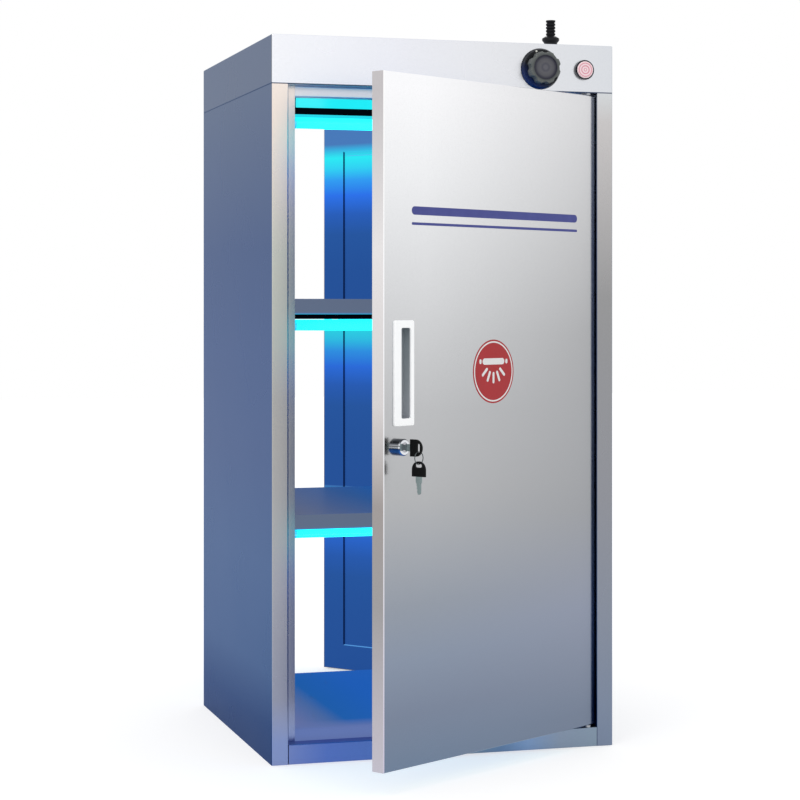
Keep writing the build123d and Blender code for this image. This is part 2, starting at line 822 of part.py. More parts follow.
def lock_parts(leaf, face, lock_at, cam_depth):
    # A cam lock: barrel, fixing nut, turning plug, and the cam with its own nut.
    shank_end = cam_depth - 0.5
    with BuildPart() as barrel:
        with BuildSketch(leaf.offset(face)):
            with Locations(lock_at):
                Circle(lock_head_radius)
        extrude(amount=lock_head_length)
        outward = Axis(leaf.origin, leaf.z_dir)
        chamfer(barrel.faces().sort_by(outward)[-1].edges(), length=1.4)
        with BuildSketch(leaf.offset(face)):
            with Locations(lock_at):
                Circle(lock_shank_radius)
        extrude(amount=-shank_end)
        with BuildSketch(leaf.offset(face + 2 * lock_head_length)):
            with Locations(lock_at):
                Circle(plug_radius + plug_gap)
        extrude(amount=-3 * cam_depth, mode=Mode.SUBTRACT)
    with BuildPart() as nut:
        with BuildSketch(leaf.offset(face - door_sheet)):
            with Locations(lock_at):
                RegularPolygon(13.0, 6)
                Circle(lock_shank_radius + 0.05, mode=Mode.SUBTRACT)
        extrude(amount=-3.5)
    with BuildPart() as plug:
        with BuildSketch(leaf.offset(face + lock_head_length - 0.4)):
            with Locations(lock_at):
                Circle(plug_radius)
        extrude(amount=-(lock_head_length - 0.4) - cam_depth)
        with BuildSketch(leaf.offset(face - cam_depth)):
            with Locations(lock_at):
                Rectangle(6.9, 6.9)
        extrude(amount=-cam_thickness)
        with BuildSketch(leaf.offset(face - cam_depth)):
            with Locations(lock_at):
                Circle(2.5)
        extrude(amount=-cam_thickness - 4.5)
        with BuildSketch(leaf.offset(face + lock_head_length)):
            with Locations(lock_at):
                Rectangle(key_blade_thickness + 0.4, key_blade_height + 0.4)
        extrude(amount=-lock_head_length - 4.0, mode=Mode.SUBTRACT)
    with BuildPart() as cam:
        with BuildSketch(leaf.offset(face - cam_depth)):
            with Locations(lock_at):
                Circle(8.0)
            with Locations((lock_at[0], lock_at[1] - cam_length + 5.0)):
                Circle(5.0)
            make_hull()
            with Locations(lock_at):
                Rectangle(7.0, 7.0, mode=Mode.SUBTRACT)
        extrude(amount=-cam_thickness)
        with BuildSketch(leaf.offset(face - cam_depth - cam_thickness)):
            with Locations(lock_at):
                RegularPolygon(5.5, 6)
                Circle(2.55, mode=Mode.SUBTRACT)
        extrude(amount=-3.2)
    return barrel, nut, plug, cam


# Front door
front_handle_at = (leaf_distance(front_free, pivot_inset, handle_inset), front_handle_height)
front_lock_at = (leaf_distance(front_free, pivot_inset, lock_inset), front_lock_height)
front_door_skin = door_skin(
    front_leaf,
    front_free,
    pivot_inset,
    pivot_depth,
    front_bottom,
    front_top,
    front_handle_at,
    front_lock_at,
    pin_hole=True,
)
save(front_door_skin, "front_door_skin")
front_door_liner = door_liner(
    front_leaf, front_free, pivot_inset, pivot_depth, front_bottom, front_top, front_lock_at
)
save(front_door_liner, "front_door_liner")
front_cup, front_frame = handle_parts(
    front_leaf, front_free, pivot_inset, pivot_depth, front_handle_at
)
save(front_cup, "front_handle_cup")
save(front_frame, "front_handle_frame")
front_lock = lock_parts(front_leaf, pivot_depth, front_lock_at, front_cam_depth)
for piece, name in zip(front_lock, ["barrel", "nut", "plug", "cam"]):
    save(piece, f"front_lock_{name}")

# Front door: nylon pivot blocks in the leaf, and the pins that stand in the carcass
leaf_plan = Plane(
    origin=(front_hinge[0], front_hinge[1], 0), x_dir=front_leaf.x_dir, z_dir=(0, 0, 1)
)
block_right = pivot_inset - door_sheet - seat
block_front = pivot_depth - door_sheet - seat
with BuildPart() as front_pivot_blocks:
    for block_foot in [
        front_bottom + door_sheet + seat,
        front_top - door_sheet - seat - pivot_reach,
    ]:
        with BuildSketch(leaf_plan.offset(block_foot)):
            with Locations((block_right - 24.0, -block_front)):
                Rectangle(24.0, 13.0, align=Align.MIN)
            Circle(pivot_radius + pivot_running_gap, mode=Mode.SUBTRACT)
        extrude(amount=pivot_reach)
save(front_pivot_blocks, "front_pivot_blocks")

collar = 4.4
pin_end = front_bottom + door_sheet + pivot_reach - 2.0
with BuildPart() as front_pivot_pins:
    with Locations((front_hinge[0], front_hinge[1], plinth_height)):
        Cylinder(collar, door_low_gap - 0.5, align=(Align.CENTER, Align.CENTER, Align.MIN))
        Cylinder(
            pivot_radius,
            pin_end - plinth_height,
            align=(Align.CENTER, Align.CENTER, Align.MIN),
        )
    with Locations((front_hinge[0], front_hinge[1], seam)):
        Cylinder(collar, door_top_gap - 0.5, align=(Align.CENTER, Align.CENTER, Align.MAX))
        Cylinder(
            pivot_radius,
            door_top_gap + door_sheet + pivot_reach - 2.0,
            align=(Align.CENTER, Align.CENTER, Align.MAX),
        )
save(front_pivot_pins, "front_pivot_pins")

# Keys
# On the key plane X points out of the lock, Y is up and the key lies flat in the plane.
lock_centre = front_leaf.from_local_coords((front_lock_at[0], front_lock_at[1], pivot_depth))
key_plane = Plane(origin=lock_centre, x_dir=front_leaf.z_dir, z_dir=-front_leaf.x_dir)
bow_centre = bow_start + bow_length - bow_radius
slot_place = bow_start + bow_length - 3.0 - bow_slot / 2
slot_half = 6.0


def key_parts(plane):
    # A flat steel blade with its shoulder, moulded into a D-shaped bow with a ring slot.
    bow_end = bow_start + 7.0
    with BuildPart() as blade:
        with BuildSketch(plane.offset(-key_blade_thickness / 2)):
            with BuildLine():
                Polyline(
                    (-3.0, -1.0),
                    (-1.0, -key_blade_height / 2),
                    (11.0, -key_blade_height / 2),
                    (12.5, -4.6),
                    (bow_end, -4.6),
                    (bow_end, 4.6),
                    (12.5, 4.6),
                    (11.0, key_blade_height / 2),
                    (8.0, key_blade_height / 2),
                    (6.5, 1.9),
                    (5.0, key_blade_height / 2),
                    (3.0, 1.5),
                    (1.0, 2.4),
                    (-3.0, 1.0),
                    close=True,
                )
            make_face()
        extrude(amount=key_blade_thickness)
    with BuildPart() as bow:
        with BuildSketch(plane.offset(-bow_thickness / 2)):
            with Locations(((bow_start + bow_centre) / 2, 0)):
                Rectangle(bow_centre - bow_start, 2 * bow_radius)
            with Locations((bow_centre, 0)):
                Circle(bow_radius)
            with Locations((bow_start, 0)):
                Rectangle(
                    bow_radius,
                    2 * bow_radius,
                    align=(Align.MAX, Align.CENTER),
                    mode=Mode.SUBTRACT,
                )
        extrude(amount=bow_thickness)
        with BuildSketch(plane.offset(-bow_thickness / 2)):
            with Locations((slot_place, 0)):
                SlotOverall(2 * slot_half, bow_slot, rotation=90)
        extrude(amount=bow_thickness, mode=Mode.SUBTRACT)
        with BuildSketch(plane.offset(-key_blade_thickness / 2)):
            with Locations((bow_start - 1.0, 0)):
                Rectangle(bow_end - bow_start + 1.05, 9.3, align=(Align.MIN, Align.CENTER))
        extrude(amount=key_blade_thickness, mode=Mode.SUBTRACT)
    return blade, bow


key_blade, key_bow = key_parts(key_plane)
save(key_blade, "key_blade")
save(key_bow, "key_bow")

# The ring goes through the slot and round the lower edge of the bow, and the spare key hangs on it.
bow_edge = sqrt(bow_radius**2 - (slot_place - bow_centre) ** 2)
rim_centre = (slot_half + bow_edge) / 2
rim_clear = 2.6
ring_centre = rim_centre + ring_radius - ring_wire - rim_clear
ring_origin = key_plane.from_local_coords((slot_place, -ring_centre, 0))
ring_plane = Plane(origin=ring_origin, x_dir=-front_leaf.x_dir, z_dir=front_leaf.z_dir)
ring_section = Plane(
    origin=ring_plane.from_local_coords((ring_radius, 0, 0)),
    x_dir=ring_plane.x_dir,
    z_dir=ring_plane.y_dir,
)
with BuildPart() as key_ring:
    with BuildSketch(ring_section):
        Circle(ring_wire)
    revolve(axis=Axis(ring_origin, front_leaf.z_dir))
save(key_ring, "key_ring")

spare_pivot = ring_centre + ring_radius
spare_slot_edge = slot_place + bow_slot / 2
spare_lift = -spare_pivot + ring_wire + 0.3 - spare_slot_edge
spare_plane = Plane(
    origin=key_plane.from_local_coords((slot_place, spare_lift, 0)),
    x_dir=(0, 0, 1),
    z_dir=-front_leaf.x_dir,
)
spare_key_blade, spare_key_bow = key_parts(spare_plane)
save(spare_key_blade, "spare_key_blade")
save(spare_key_bow, "spare_key_bow")

# Rear door
rear_lock_at = (leaf_distance(rear_free, rear_edge, lock_inset), rear_lock_height)
rear_handle_at = (
    leaf_distance(rear_free, rear_edge, handle_inset),
    rear_lock_height + handle_above_lock,
)
rear_door_skin = door_skin(
    rear_leaf,
    rear_free,
    rear_edge,
    rear_face,
    rear_door_bottom,
    rear_door_top,
    rear_handle_at,
    rear_lock_at,
    pin_hole=False,
)
save(rear_door_skin, "rear_door_skin")
rear_door_liner = door_liner(
    rear_leaf, rear_free, rear_edge, rear_face, rear_door_bottom, rear_door_top, rear_lock_at
)
save(rear_door_liner, "rear_door_liner")
rear_cup, rear_frame = handle_parts(
    rear_leaf, rear_free, rear_edge, rear_face, rear_handle_at
)
save(rear_cup, "rear_handle_cup")
save(rear_frame, "rear_handle_frame")
rear_lock = lock_parts(rear_leaf, rear_face, rear_lock_at, rear_cam_depth)
for piece, name in zip(rear_lock, ["barrel", "nut", "plug", "cam"]):
    save(piece, f"rear_lock_{name}")

# Rear door: barrel hinges in three places, each with two fixed knuckles and a moving one between
hinge_feet = [
    rear_hinge_edge
    + step * (rear_door_top - 2 * rear_hinge_edge - rear_hinge_height) / (rear_hinge_count - 1)
    for step in range(rear_hinge_count)
]
knuckle = rear_hinge_height / 3
knuckle_gap = 0.3
pin_radius = 2.5
frame_plate_left = rear_hinge[0] - 15.0
middle_right = rear_hinge[0] - rear_barrel_radius - 0.4
with BuildPart() as rear_hinge_frames:
    for foot in hinge_feet:
        with BuildSketch(Plane.XY.offset(foot)):
            with Locations((frame_plate_left, back)):
                Rectangle(middle_right - frame_plate_left, hinge_plate, align=Align.MIN)
        extrude(amount=rear_hinge_height)
        for knuckle_foot in [foot, foot + 2 * knuckle]:
            with BuildSketch(Plane.XY.offset(knuckle_foot)):
                with Locations((frame_plate_left, back)):
                    Rectangle(rear_hinge[0] - frame_plate_left, hinge_plate, align=Align.MIN)
                with Locations(rear_hinge):
                    Circle(rear_barrel_radius)
            extrude(amount=knuckle)
            with BuildSketch(Plane.XY.offset(knuckle_foot)):
                with Locations(rear_hinge):
                    Circle(pin_radius + 0.05)
            extrude(amount=knuckle, mode=Mode.SUBTRACT)
save(rear_hinge_frames, "rear_hinge_frames")

with BuildPart() as rear_hinge_pins:
    for foot in hinge_feet:
        with Locations((rear_hinge[0], rear_hinge[1], foot - 1.5)):
            Cylinder(
                pin_radius, rear_hinge_height + 3.0, align=(Align.CENTER, Align.CENTER, Align.MIN)
            )
        for cap_foot in [foot - 1.5, foot + rear_hinge_height + 0.1]:
            with Locations((rear_hinge[0], rear_hinge[1], cap_foot)):
                Cylinder(
                    rear_barrel_radius - 0.8,
                    1.4,
                    align=(Align.CENTER, Align.CENTER, Align.MIN),
                )
save(rear_hinge_pins, "rear_hinge_pins")

rear_plan = Plane(
    origin=(rear_hinge[0], rear_hinge[1], 0), x_dir=rear_leaf.x_dir, z_dir=(0, 0, -1)
)
plate_start = rear_edge - hinge_plate - 0.1
with BuildPart() as rear_hinge_leaves:
    for foot in hinge_feet:
        with BuildSketch(rear_plan.offset(-foot)):
            with Locations((plate_start, rear_face - door_thickness + 1.0)):
                Rectangle(hinge_plate, door_thickness - 4.0, align=Align.MIN)
        extrude(amount=-rear_hinge_height)
        with BuildSketch(rear_plan.offset(-foot - knuckle - knuckle_gap)):
            Circle(rear_barrel_radius)
            with Locations((0, -1.5)):
                Rectangle(plate_start + hinge_plate, 3.0, align=Align.MIN)
        extrude(amount=-knuckle + 2 * knuckle_gap)
        with BuildSketch(rear_plan.offset(-foot - knuckle)):
            Circle(pin_radius + 0.05)
        extrude(amount=-knuckle, mode=Mode.SUBTRACT)
save(rear_hinge_leaves, "rear_hinge_leaves")
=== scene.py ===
# %% [markdown]
# # An ultraviolet disinfection cabinet
# The real object is folded from thin stainless sheet. It has a front and a rear door, two shelves, three
# lamps that run from side to side, and a header with a timer and a switch. The solids come from CAD, so this
# file adds what CAD leaves plain: the finish of each metal and plastic, with much of its light and shade
# painted into its colour, printed marks, screws and light.

# %% Load the imported model
import math

import bmesh
import bpy
from mathutils import Matrix, Vector


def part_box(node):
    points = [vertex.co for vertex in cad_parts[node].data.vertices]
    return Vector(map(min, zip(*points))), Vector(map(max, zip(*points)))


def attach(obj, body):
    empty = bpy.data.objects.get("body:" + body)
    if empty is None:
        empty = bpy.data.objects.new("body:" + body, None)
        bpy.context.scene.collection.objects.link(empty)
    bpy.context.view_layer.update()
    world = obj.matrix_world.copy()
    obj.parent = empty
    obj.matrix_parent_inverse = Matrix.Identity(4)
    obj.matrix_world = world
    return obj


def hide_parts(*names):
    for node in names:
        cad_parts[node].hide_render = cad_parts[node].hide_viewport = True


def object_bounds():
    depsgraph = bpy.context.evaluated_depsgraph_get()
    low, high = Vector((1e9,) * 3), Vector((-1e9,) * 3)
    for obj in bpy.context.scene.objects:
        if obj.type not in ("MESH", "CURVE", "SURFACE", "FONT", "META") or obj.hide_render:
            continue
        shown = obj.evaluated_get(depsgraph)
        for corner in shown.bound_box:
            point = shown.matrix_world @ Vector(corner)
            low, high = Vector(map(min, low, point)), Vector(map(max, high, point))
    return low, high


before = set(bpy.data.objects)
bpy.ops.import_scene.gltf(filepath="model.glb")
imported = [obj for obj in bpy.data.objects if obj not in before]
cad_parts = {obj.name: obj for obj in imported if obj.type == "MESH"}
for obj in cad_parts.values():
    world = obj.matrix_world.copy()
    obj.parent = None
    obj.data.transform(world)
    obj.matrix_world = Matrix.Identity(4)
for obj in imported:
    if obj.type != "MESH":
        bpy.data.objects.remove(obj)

cad_low, cad_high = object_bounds()
scene = bpy.context.scene
print("pieces from CAD:", len(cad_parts))
print("CAD box in metres:", [round(v, 3) for v in (*cad_low, *cad_high)])

# %% [markdown]
# ## The camera
# A camera is matched to a photograph by where it stands, where it points, and its lens. The cabinet's upright
# edges are parallel in the picture, so the camera is level, and a vertical shift moves the frame down instead
# of a tilt. The lens is long, because the far edges are only a little shorter.

# %% Place the camera
CAMERA_PLACE = (-0.9168, -3.1144, 0.6218)
CAMERA_TURN = math.radians(-16.453)
CAMERA_LENS = 97.16
CAMERA_SHIFT = -0.1119

camera_data = bpy.data.cameras.new("camera")
camera = bpy.data.objects.new("camera", camera_data)
scene.collection.objects.link(camera)
camera.location = CAMERA_PLACE
camera.rotation_euler = (math.radians(90), 0, CAMERA_TURN)
camera_data.sensor_width = 36
camera_data.lens = CAMERA_LENS
camera_data.shift_y = CAMERA_SHIFT
scene.camera = camera
scene.view_settings.view_transform = "Standard"
print("lens in millimetres:", camera_data.lens)


# %% [markdown]
# ## Helpers for nodes
# Every finish here is a small node tree. A few helpers keep the trees short: one turns a colour as an eye
# reads it on a screen into the linear numbers that a renderer needs, one starts a material with the values
# that are the same all over it, and one starts a group with its named sockets. The helpers for sums each
# make one node, fill its sockets and give back what comes out of it.


# %% Colour and material helpers
def tone(red, green, blue):
    """A screen colour, 0 to 255, as the linear colour that a shader takes."""

    def linear(value):
        value /= 255
        return value / 12.92 if value <= 0.04045 else ((value + 0.055) / 1.055) ** 2.4

    return (linear(red), linear(green), linear(blue), 1.0)


def add_node(tree, kind, **settings):
    """A node of a kind, with its settings."""
    node = tree.nodes.new(kind)
    for setting, value in settings.items():
        setattr(node, setting, value)
    return node


def new_finish(name, **constants):
    """A material with its Principled shader, and the values that are constant over the surface."""
    material = bpy.data.materials.new(name)
    material.use_nodes = True
    shader = material.node_tree.nodes["Principled BSDF"]
    for socket, value in constants.items():
        shader.inputs[socket.replace("_", " ")].default_value = value
    return material, material.node_tree, shader


def new_group(name, inputs, outputs):
    """An empty shader group with its sockets, and its two end nodes."""
    group = bpy.data.node_groups.new(name, "ShaderNodeTree")
    for label, kind, value in inputs:
        socket = group.interface.new_socket(label, in_out="INPUT", socket_type="NodeSocket" + kind)
        socket.default_value = value
    for label, kind in outputs:
        group.interface.new_socket(label, in_out="OUTPUT", socket_type="NodeSocket" + kind)
    return group, add_node(group, "NodeGroupInput"), add_node(group, "NodeGroupOutput")


def wear_on(names, material):
    """Puts one material on CAD nodes, in place of their packed one."""
    for name in names:
        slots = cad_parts[name].data.materials
        slots.clear()
        slots.append(material)
    print(material.name, "is on", ", ".join(names))


# %% Helpers for sums
def fill(tree, socket, value):
    """Gives a socket another socket's output, or a plain value."""
    if isinstance(value, bpy.types.NodeSocket):
        tree.links.new(value, socket)
    else:
        socket.default_value = value


def worked(tree, operation, *values):
    """A Math node with its values, each a socket or a number."""
    node = add_node(tree, "ShaderNodeMath", operation=operation)
    for socket, value in zip(node.inputs, values):
        fill(tree, socket, value)
    return node.outputs[0]


def vector_worked(tree, operation, *values):
    """The same for a Vector Math node. Its first output is a vector, and "Value" is a number."""
    node = add_node(tree, "ShaderNodeVectorMath", operation=operation)
    for socket, value in zip(node.inputs, values):
        fill(tree, socket, value)
    return node.outputs


def ramp_up(tree, value, low, high, kind="SMOOTHSTEP"):
    """0 up to a low value, 1 from a high one on, and a ramp between the two."""
    node = add_node(tree, "ShaderNodeMapRange", interpolation_type=kind)
    fill(tree, node.inputs["Value"], value)
    fill(tree, node.inputs["From Min"], low)
    fill(tree, node.inputs["From Max"], high)
    return node.outputs["Result"]


def object_place(tree):
    """The place of a point on the object, in metres."""
    return add_node(tree, "ShaderNodeTexCoord").outputs["Object"]


# %% [markdown]
# ## Groups that find a place on the object
# Most tones on this cabinet are painted light and shade, and depend on where a point is or on which way it
# faces: a tall panel is painted pale at its head, where light falls, and cooler at its foot, and a side is
# painted darker than a front, as shade. Both can be read from the object's own coordinates. One group gives
# the share of the way between two points, and one gives a mask of the faces that are turned to a direction.


# %% The group for a share of the way
def make_share_group():
    group, start, end = new_group(
        "share of the way",
        [("Start", "Vector", (0, 0, 0)), ("End", "Vector", (0, 0, 1))],
        [("Share", "Float")],
    )
    offset = vector_worked(group, "SUBTRACT", object_place(group), start.outputs["Start"])[0]
    run = vector_worked(group, "SUBTRACT", start.outputs["End"], start.outputs["Start"])[0]
    covered = vector_worked(group, "DOT_PRODUCT", offset, run)["Value"]
    whole = vector_worked(group, "DOT_PRODUCT", run, run)["Value"]
    share = worked(group, "DIVIDE", covered, whole)
    share.node.use_clamp = True
    group.links.new(share, end.inputs["Share"])
    return group


share_group = make_share_group()


# %% The group for faces turned to a direction
def make_facing_group():
    group, start, end = new_group(
        "facing",
        [("Direction", "Vector", (0, 0, 1)), ("From", "Float", 0.5), ("To", "Float", 0.8)],
        [("Mask", "Float")],
    )
    normal = add_node(group, "ShaderNodeTexCoord").outputs["Normal"]
    toward = vector_worked(group, "DOT_PRODUCT", normal, start.outputs["Direction"])["Value"]
    mask = ramp_up(group, toward, start.outputs["From"], start.outputs["To"])
    group.links.new(mask, end.inputs["Mask"])
    return group


facing_group = make_facing_group()


# %% Helpers that place the groups
def use_group(tree, group, **values):
    """What comes out of a group's node, with its inputs filled."""
    node = add_node(tree, "ShaderNodeGroup", node_tree=group)
    for socket, value in values.items():
        fill(tree, node.inputs[socket.replace("_", " ")], value)
    return node.outputs


def share_of(tree, start, end):
    """The share of the way from one point to another, clamped to 0 and 1."""
    return use_group(tree, share_group, Start=start, End=end)["Share"]


def facing(tree, direction, low=0.5, high=0.8):
    """A mask of the faces turned to a direction."""
    return use_group(tree, facing_group, Direction=direction, From=low, To=high)["Mask"]


def mixed(tree, mask, first, second):
    """The first colour where the mask is 0, and the second where it is 1."""
    mix = add_node(tree, "ShaderNodeMix", data_type="RGBA")
    fill(tree, mix.inputs["Factor"], mask)
    fill(tree, mix.inputs["A"], first)
    fill(tree, mix.inputs["B"], second)
    return mix.outputs["Result"]


def run_of_tones(tree, share, stops):
    """A colour ramp. The stops are a share and the three numbers of a screen colour."""
    ramp = add_node(tree, "ShaderNodeValToRGB")
    marks = ramp.color_ramp.elements
    marks[0].position, marks[0].color = stops[0][0], tone(*stops[0][1:])
    marks[1].position, marks[1].color = stops[-1][0], tone(*stops[-1][1:])
    for position, *colour in stops[1:-1]:
        marks.new(position).color = tone(*colour)
    tree.links.new(share, ramp.inputs["Fac"])
    return ramp.outputs["Color"]


def by_height(tree, stops):
    """A run of tones whose shares are heights in metres, up to 1 m."""
    return run_of_tones(tree, share_of(tree, (0, 0, 0), (0, 0, 1)), stops)


# %% Helpers that read a place
def along(tree, axis):
    """How far a point lies along X, Y or Z, in metres."""
    parts = add_node(tree, "ShaderNodeSeparateXYZ")
    tree.links.new(object_place(tree), parts.inputs[0])
    return parts.outputs[axis]


def from_axis(tree, centre, radius):
    """The distance from an axis that runs front to back, as a share of a radius."""
    centred = add_node(tree, "ShaderNodeMapping")
    centred.inputs["Location"].default_value = -centre
    tree.links.new(object_place(tree), centred.inputs["Vector"])
    flat = vector_worked(tree, "MULTIPLY", centred.outputs[0], (1, 0, 1))[0]
    length = vector_worked(tree, "LENGTH", flat)["Value"]
    return worked(tree, "DIVIDE", length, radius)


# %% [markdown]
# ## A group for satin sheet
# Satin stainless sheet has a fine speckle from its finishing belt and wide, faint clouds from rolling. Both
# change its colour and its gloss a little. A noise in metres gives each of them at its real scale, and every
# sheet on the cabinet shares the group with its own values.


# %% A helper for grain
def noise(tree, scale, detail):
    """A noise on the object's own coordinates, so its scale is in grains to a metre."""
    grains = add_node(tree, "ShaderNodeTexNoise")
    grains.inputs["Detail"].default_value = detail
    fill(tree, grains.inputs["Scale"], scale)
    fill(tree, grains.inputs["Vector"], object_place(tree))
    return grains.outputs["Fac"]


# %% Build the satin group
SPECKLE_SCALE = 340.0
CLOUD_SCALE = 5.0


def make_satin_group():
    group, start, end = new_group(
        "satin sheet",
        [
            ("Colour", "Color", (0.5, 0.5, 0.5, 1)),
            ("Speckle", "Float", 0.06),
            ("Cloud", "Float", 0.06),
            ("Roughness", "Float", 0.27),
            ("Roughness Spread", "Float", 0.08),
        ],
        [("Colour", "Color"), ("Roughness", "Float"), ("Height", "Float")],
    )
    link = group.links.new
    speckle = noise(group, SPECKLE_SCALE, 2.0)
    cloud = noise(group, CLOUD_SCALE, 3.0)

    def around(source, depth, middle):
        """A value that swings about a middle by a depth."""
        centred = worked(group, "SUBTRACT", source, 0.5)
        return worked(group, "MULTIPLY_ADD", centred, depth, middle)

    speckled = around(speckle, start.outputs["Speckle"], 1.0)
    clouded = around(cloud, start.outputs["Cloud"], 1.0)
    tint = add_node(group, "ShaderNodeVectorMath", operation="SCALE")
    link(start.outputs["Colour"], tint.inputs[0])
    link(worked(group, "MULTIPLY", speckled, clouded), tint.inputs["Scale"])
    link(tint.outputs[0], end.inputs["Colour"])
    rough = around(cloud, start.outputs["Roughness Spread"], start.outputs["Roughness"])
    link(rough, end.inputs["Roughness"])
    link(speckle, end.inputs["Height"])
    return group


satin_group = make_satin_group()


# %% Make a sheet material from the group
GRAIN_DEPTH = 0.0002
SATIN_RELIEF = 0.06


def painted(tree, colour):
    """A screen colour as linear numbers, or the output that a maker of tones gives."""
    return colour(tree) if callable(colour) else tone(*colour)


def put_on_skin(tree, shader, group, relief, **values):
    """Joins a skin group to the shader: its colour, its roughness, and its height as a bump."""
    skin = use_group(tree, group, **values)
    bump = add_node(tree, "ShaderNodeBump")
    bump.inputs["Strength"].default_value = relief
    bump.inputs["Distance"].default_value = GRAIN_DEPTH
    tree.links.new(skin["Height"], bump.inputs["Height"])
    tree.links.new(skin["Colour"], shader.inputs["Base Color"])
    tree.links.new(skin["Roughness"], shader.inputs["Roughness"])
    tree.links.new(bump.outputs["Normal"], shader.inputs["Normal"])


def satin_finish(name, colour, make_glow=None, roughness=0.27, cloud=0.06, **constants):
    """Sheet metal of a screen colour, or of a maker's, with a maker of the light that it passes on."""
    material, tree, shader = new_finish(name, **{"Metallic": 1.0, **constants})
    values = {"Colour": painted(tree, colour), "Roughness": roughness, "Cloud": cloud}
    put_on_skin(tree, shader, satin_group, SATIN_RELIEF, **values)
    if make_glow:
        tree.links.new(make_glow(tree), shader.inputs["Emission Color"])
    return material


print("shader groups:", [group.name for group in bpy.data.node_groups])

# %% [markdown]
# ## The side panels
# Each side is one sheet that is folded round into the front stile. Its front is painted pale at the head, as
# if lit by the studio, and its broad side is painted in shade as a darker blue grey, with painted blue light
# making it nearly navy at the foot. So the material has two runs of painted light and shade by height, and a
# mask of the faces that look left or right chooses between them.
# Any metal turns to a white mirror where it is seen nearly edge on. Satin sheet does so less than a polished
# one, and the shader's specular tint says how much is left.

# %% Finish the side panels
GRAZING_TINT = (0.42, 0.48, 0.62, 1)
# Painted light and shade by height: the pale, lit front of each stile, and the blue grey shade of the side.
SIDE_PAINTED_SHADE = [
    (0.0, 18, 50, 104), (0.05, 26, 62, 116), (0.125, 78, 104, 144), (0.27, 92, 114, 150),
    (0.42, 96, 111, 146), (0.56, 101, 116, 152), (0.71, 101, 114, 146), (0.93, 130, 137, 150),
]
LEFT_STILE_PAINTED_LIGHT = [
    (0.03, 133, 148, 193), (0.09, 148, 152, 170), (0.30, 172, 171, 172), (0.50, 178, 176, 170),
    (0.70, 201, 203, 192), (0.88, 247, 231, 219), (0.93, 250, 236, 226),
]
RIGHT_STILE_PAINTED_LIGHT = [
    (0.02, 119, 132, 154), (0.35, 141, 143, 150), (0.64, 151, 151, 152), (0.89, 201, 198, 198),
    (0.93, 212, 215, 217),
]


def broad_sides(tree):
    """A mask of the faces that look left or right."""
    return worked(tree, "ADD", facing(tree, (-1, 0, 0)), facing(tree, (1, 0, 0)))


def panel_painted_light(stile):
    """A maker of a side panel's painted light and shade, from the painted tones of its stile."""

    def make_tone(tree):
        return mixed(tree, broad_sides(tree), by_height(tree, stile), by_height(tree, SIDE_PAINTED_SHADE))

    return make_tone


left_steel = satin_finish("left side steel", panel_painted_light(LEFT_STILE_PAINTED_LIGHT), Specular_Tint=GRAZING_TINT)
right_steel = satin_finish("right side steel", panel_painted_light(RIGHT_STILE_PAINTED_LIGHT), Specular_Tint=GRAZING_TINT)
wear_on(["left_side_panel"], left_steel)
wear_on(["right_side_panel", "rear_fixed_panel"], right_steel)

# %% [markdown]
# ## The header, the rail and the plinth
# The header is the palest piece, with painted light that fades a little from left to right, and its sides
# are painted darker, as shade. It stands on the body with a fine dark joint, which is thinner than a pixel,
# so its shade is drawn on the header's lowest millimetre. The rail under it is painted pale, with painted
# shade near that joint. The plinth is low, so its tones are a painted reflection of the floor and the blue of
# the chamber.

# %% Finish the header, the rail and the plinth
HEADER_PAINTED_LIGHT = [(0.0, 247, 248, 253), (0.35, 238, 239, 246), (0.65, 230, 231, 235), (1.0, 219, 222, 227)]
# The rail is painted pale along its face, with painted shade where it runs up into the joint under the
# header.
RAIL_PAINTED_LIGHT_AND_SHADE = [
    (0.9165, 226, 236, 240), (0.920, 250, 244, 244), (0.931, 250, 245, 246), (0.9319, 52, 78, 116),
    (0.935, 28, 46, 84),
]
# The plinth's tones are a painted reflection of the floor and of the chamber's blue light.
PLINTH_PAINTED_REFLECTION = [
    (0.0, 124, 138, 188), (0.16, 90, 118, 190), (0.45, 84, 118, 182), (0.56, 118, 138, 156),
    (0.66, 100, 128, 162), (0.74, 121, 148, 186), (0.84, 130, 145, 166), (1.0, 127, 145, 161),
]
SEAM_LOW = 0.9330
SEAM_HIGH = 0.9338


def across_front(tree, stops):
    """A run of tones from the cabinet's left edge to its right."""
    return run_of_tones(tree, share_of(tree, (-cad_high.x, 0, 0), (cad_high.x, 0, 0)), stops)


def header_painted_light(tree):
    front = across_front(tree, HEADER_PAINTED_LIGHT)
    # The header's sides are painted darker, as painted shade.
    shell = mixed(tree, broad_sides(tree), front, tone(140, 144, 152))
    above_seam = share_of(tree, (0, 0, SEAM_LOW), (0, 0, SEAM_HIGH))
    return mixed(tree, above_seam, tone(44, 62, 92), shell)


wear_on(["header_cover"], satin_finish("header steel", header_painted_light, Specular_Tint=GRAZING_TINT))
plinth_steel = satin_finish("plinth steel", lambda tree: across_front(tree, PLINTH_PAINTED_REFLECTION), roughness=0.3)
rail_steel = satin_finish("rail steel", lambda tree: by_height(tree, RAIL_PAINTED_LIGHT_AND_SHADE), roughness=0.32)
wear_on(["base_frame"], plinth_steel)
wear_on(["front_head_rail", "rear_head_rail"], rail_steel)

# %% [markdown]
# ## The doors
# The front door is polished a little finer, so it shows a soft image of its own lock. Its light and shade are
# painted: it fades from white at the top of its free edge to a blue grey at the foot, and it is painted
# darker towards the hinge. Two runs by height, one for each upright edge, and the share of the way between
# them give that. The folded edge has its own run of painted light and shade, and the bend between edge and
# face has a painted highlight as a bright line. The rear door's skin takes the hinge side's painted run.

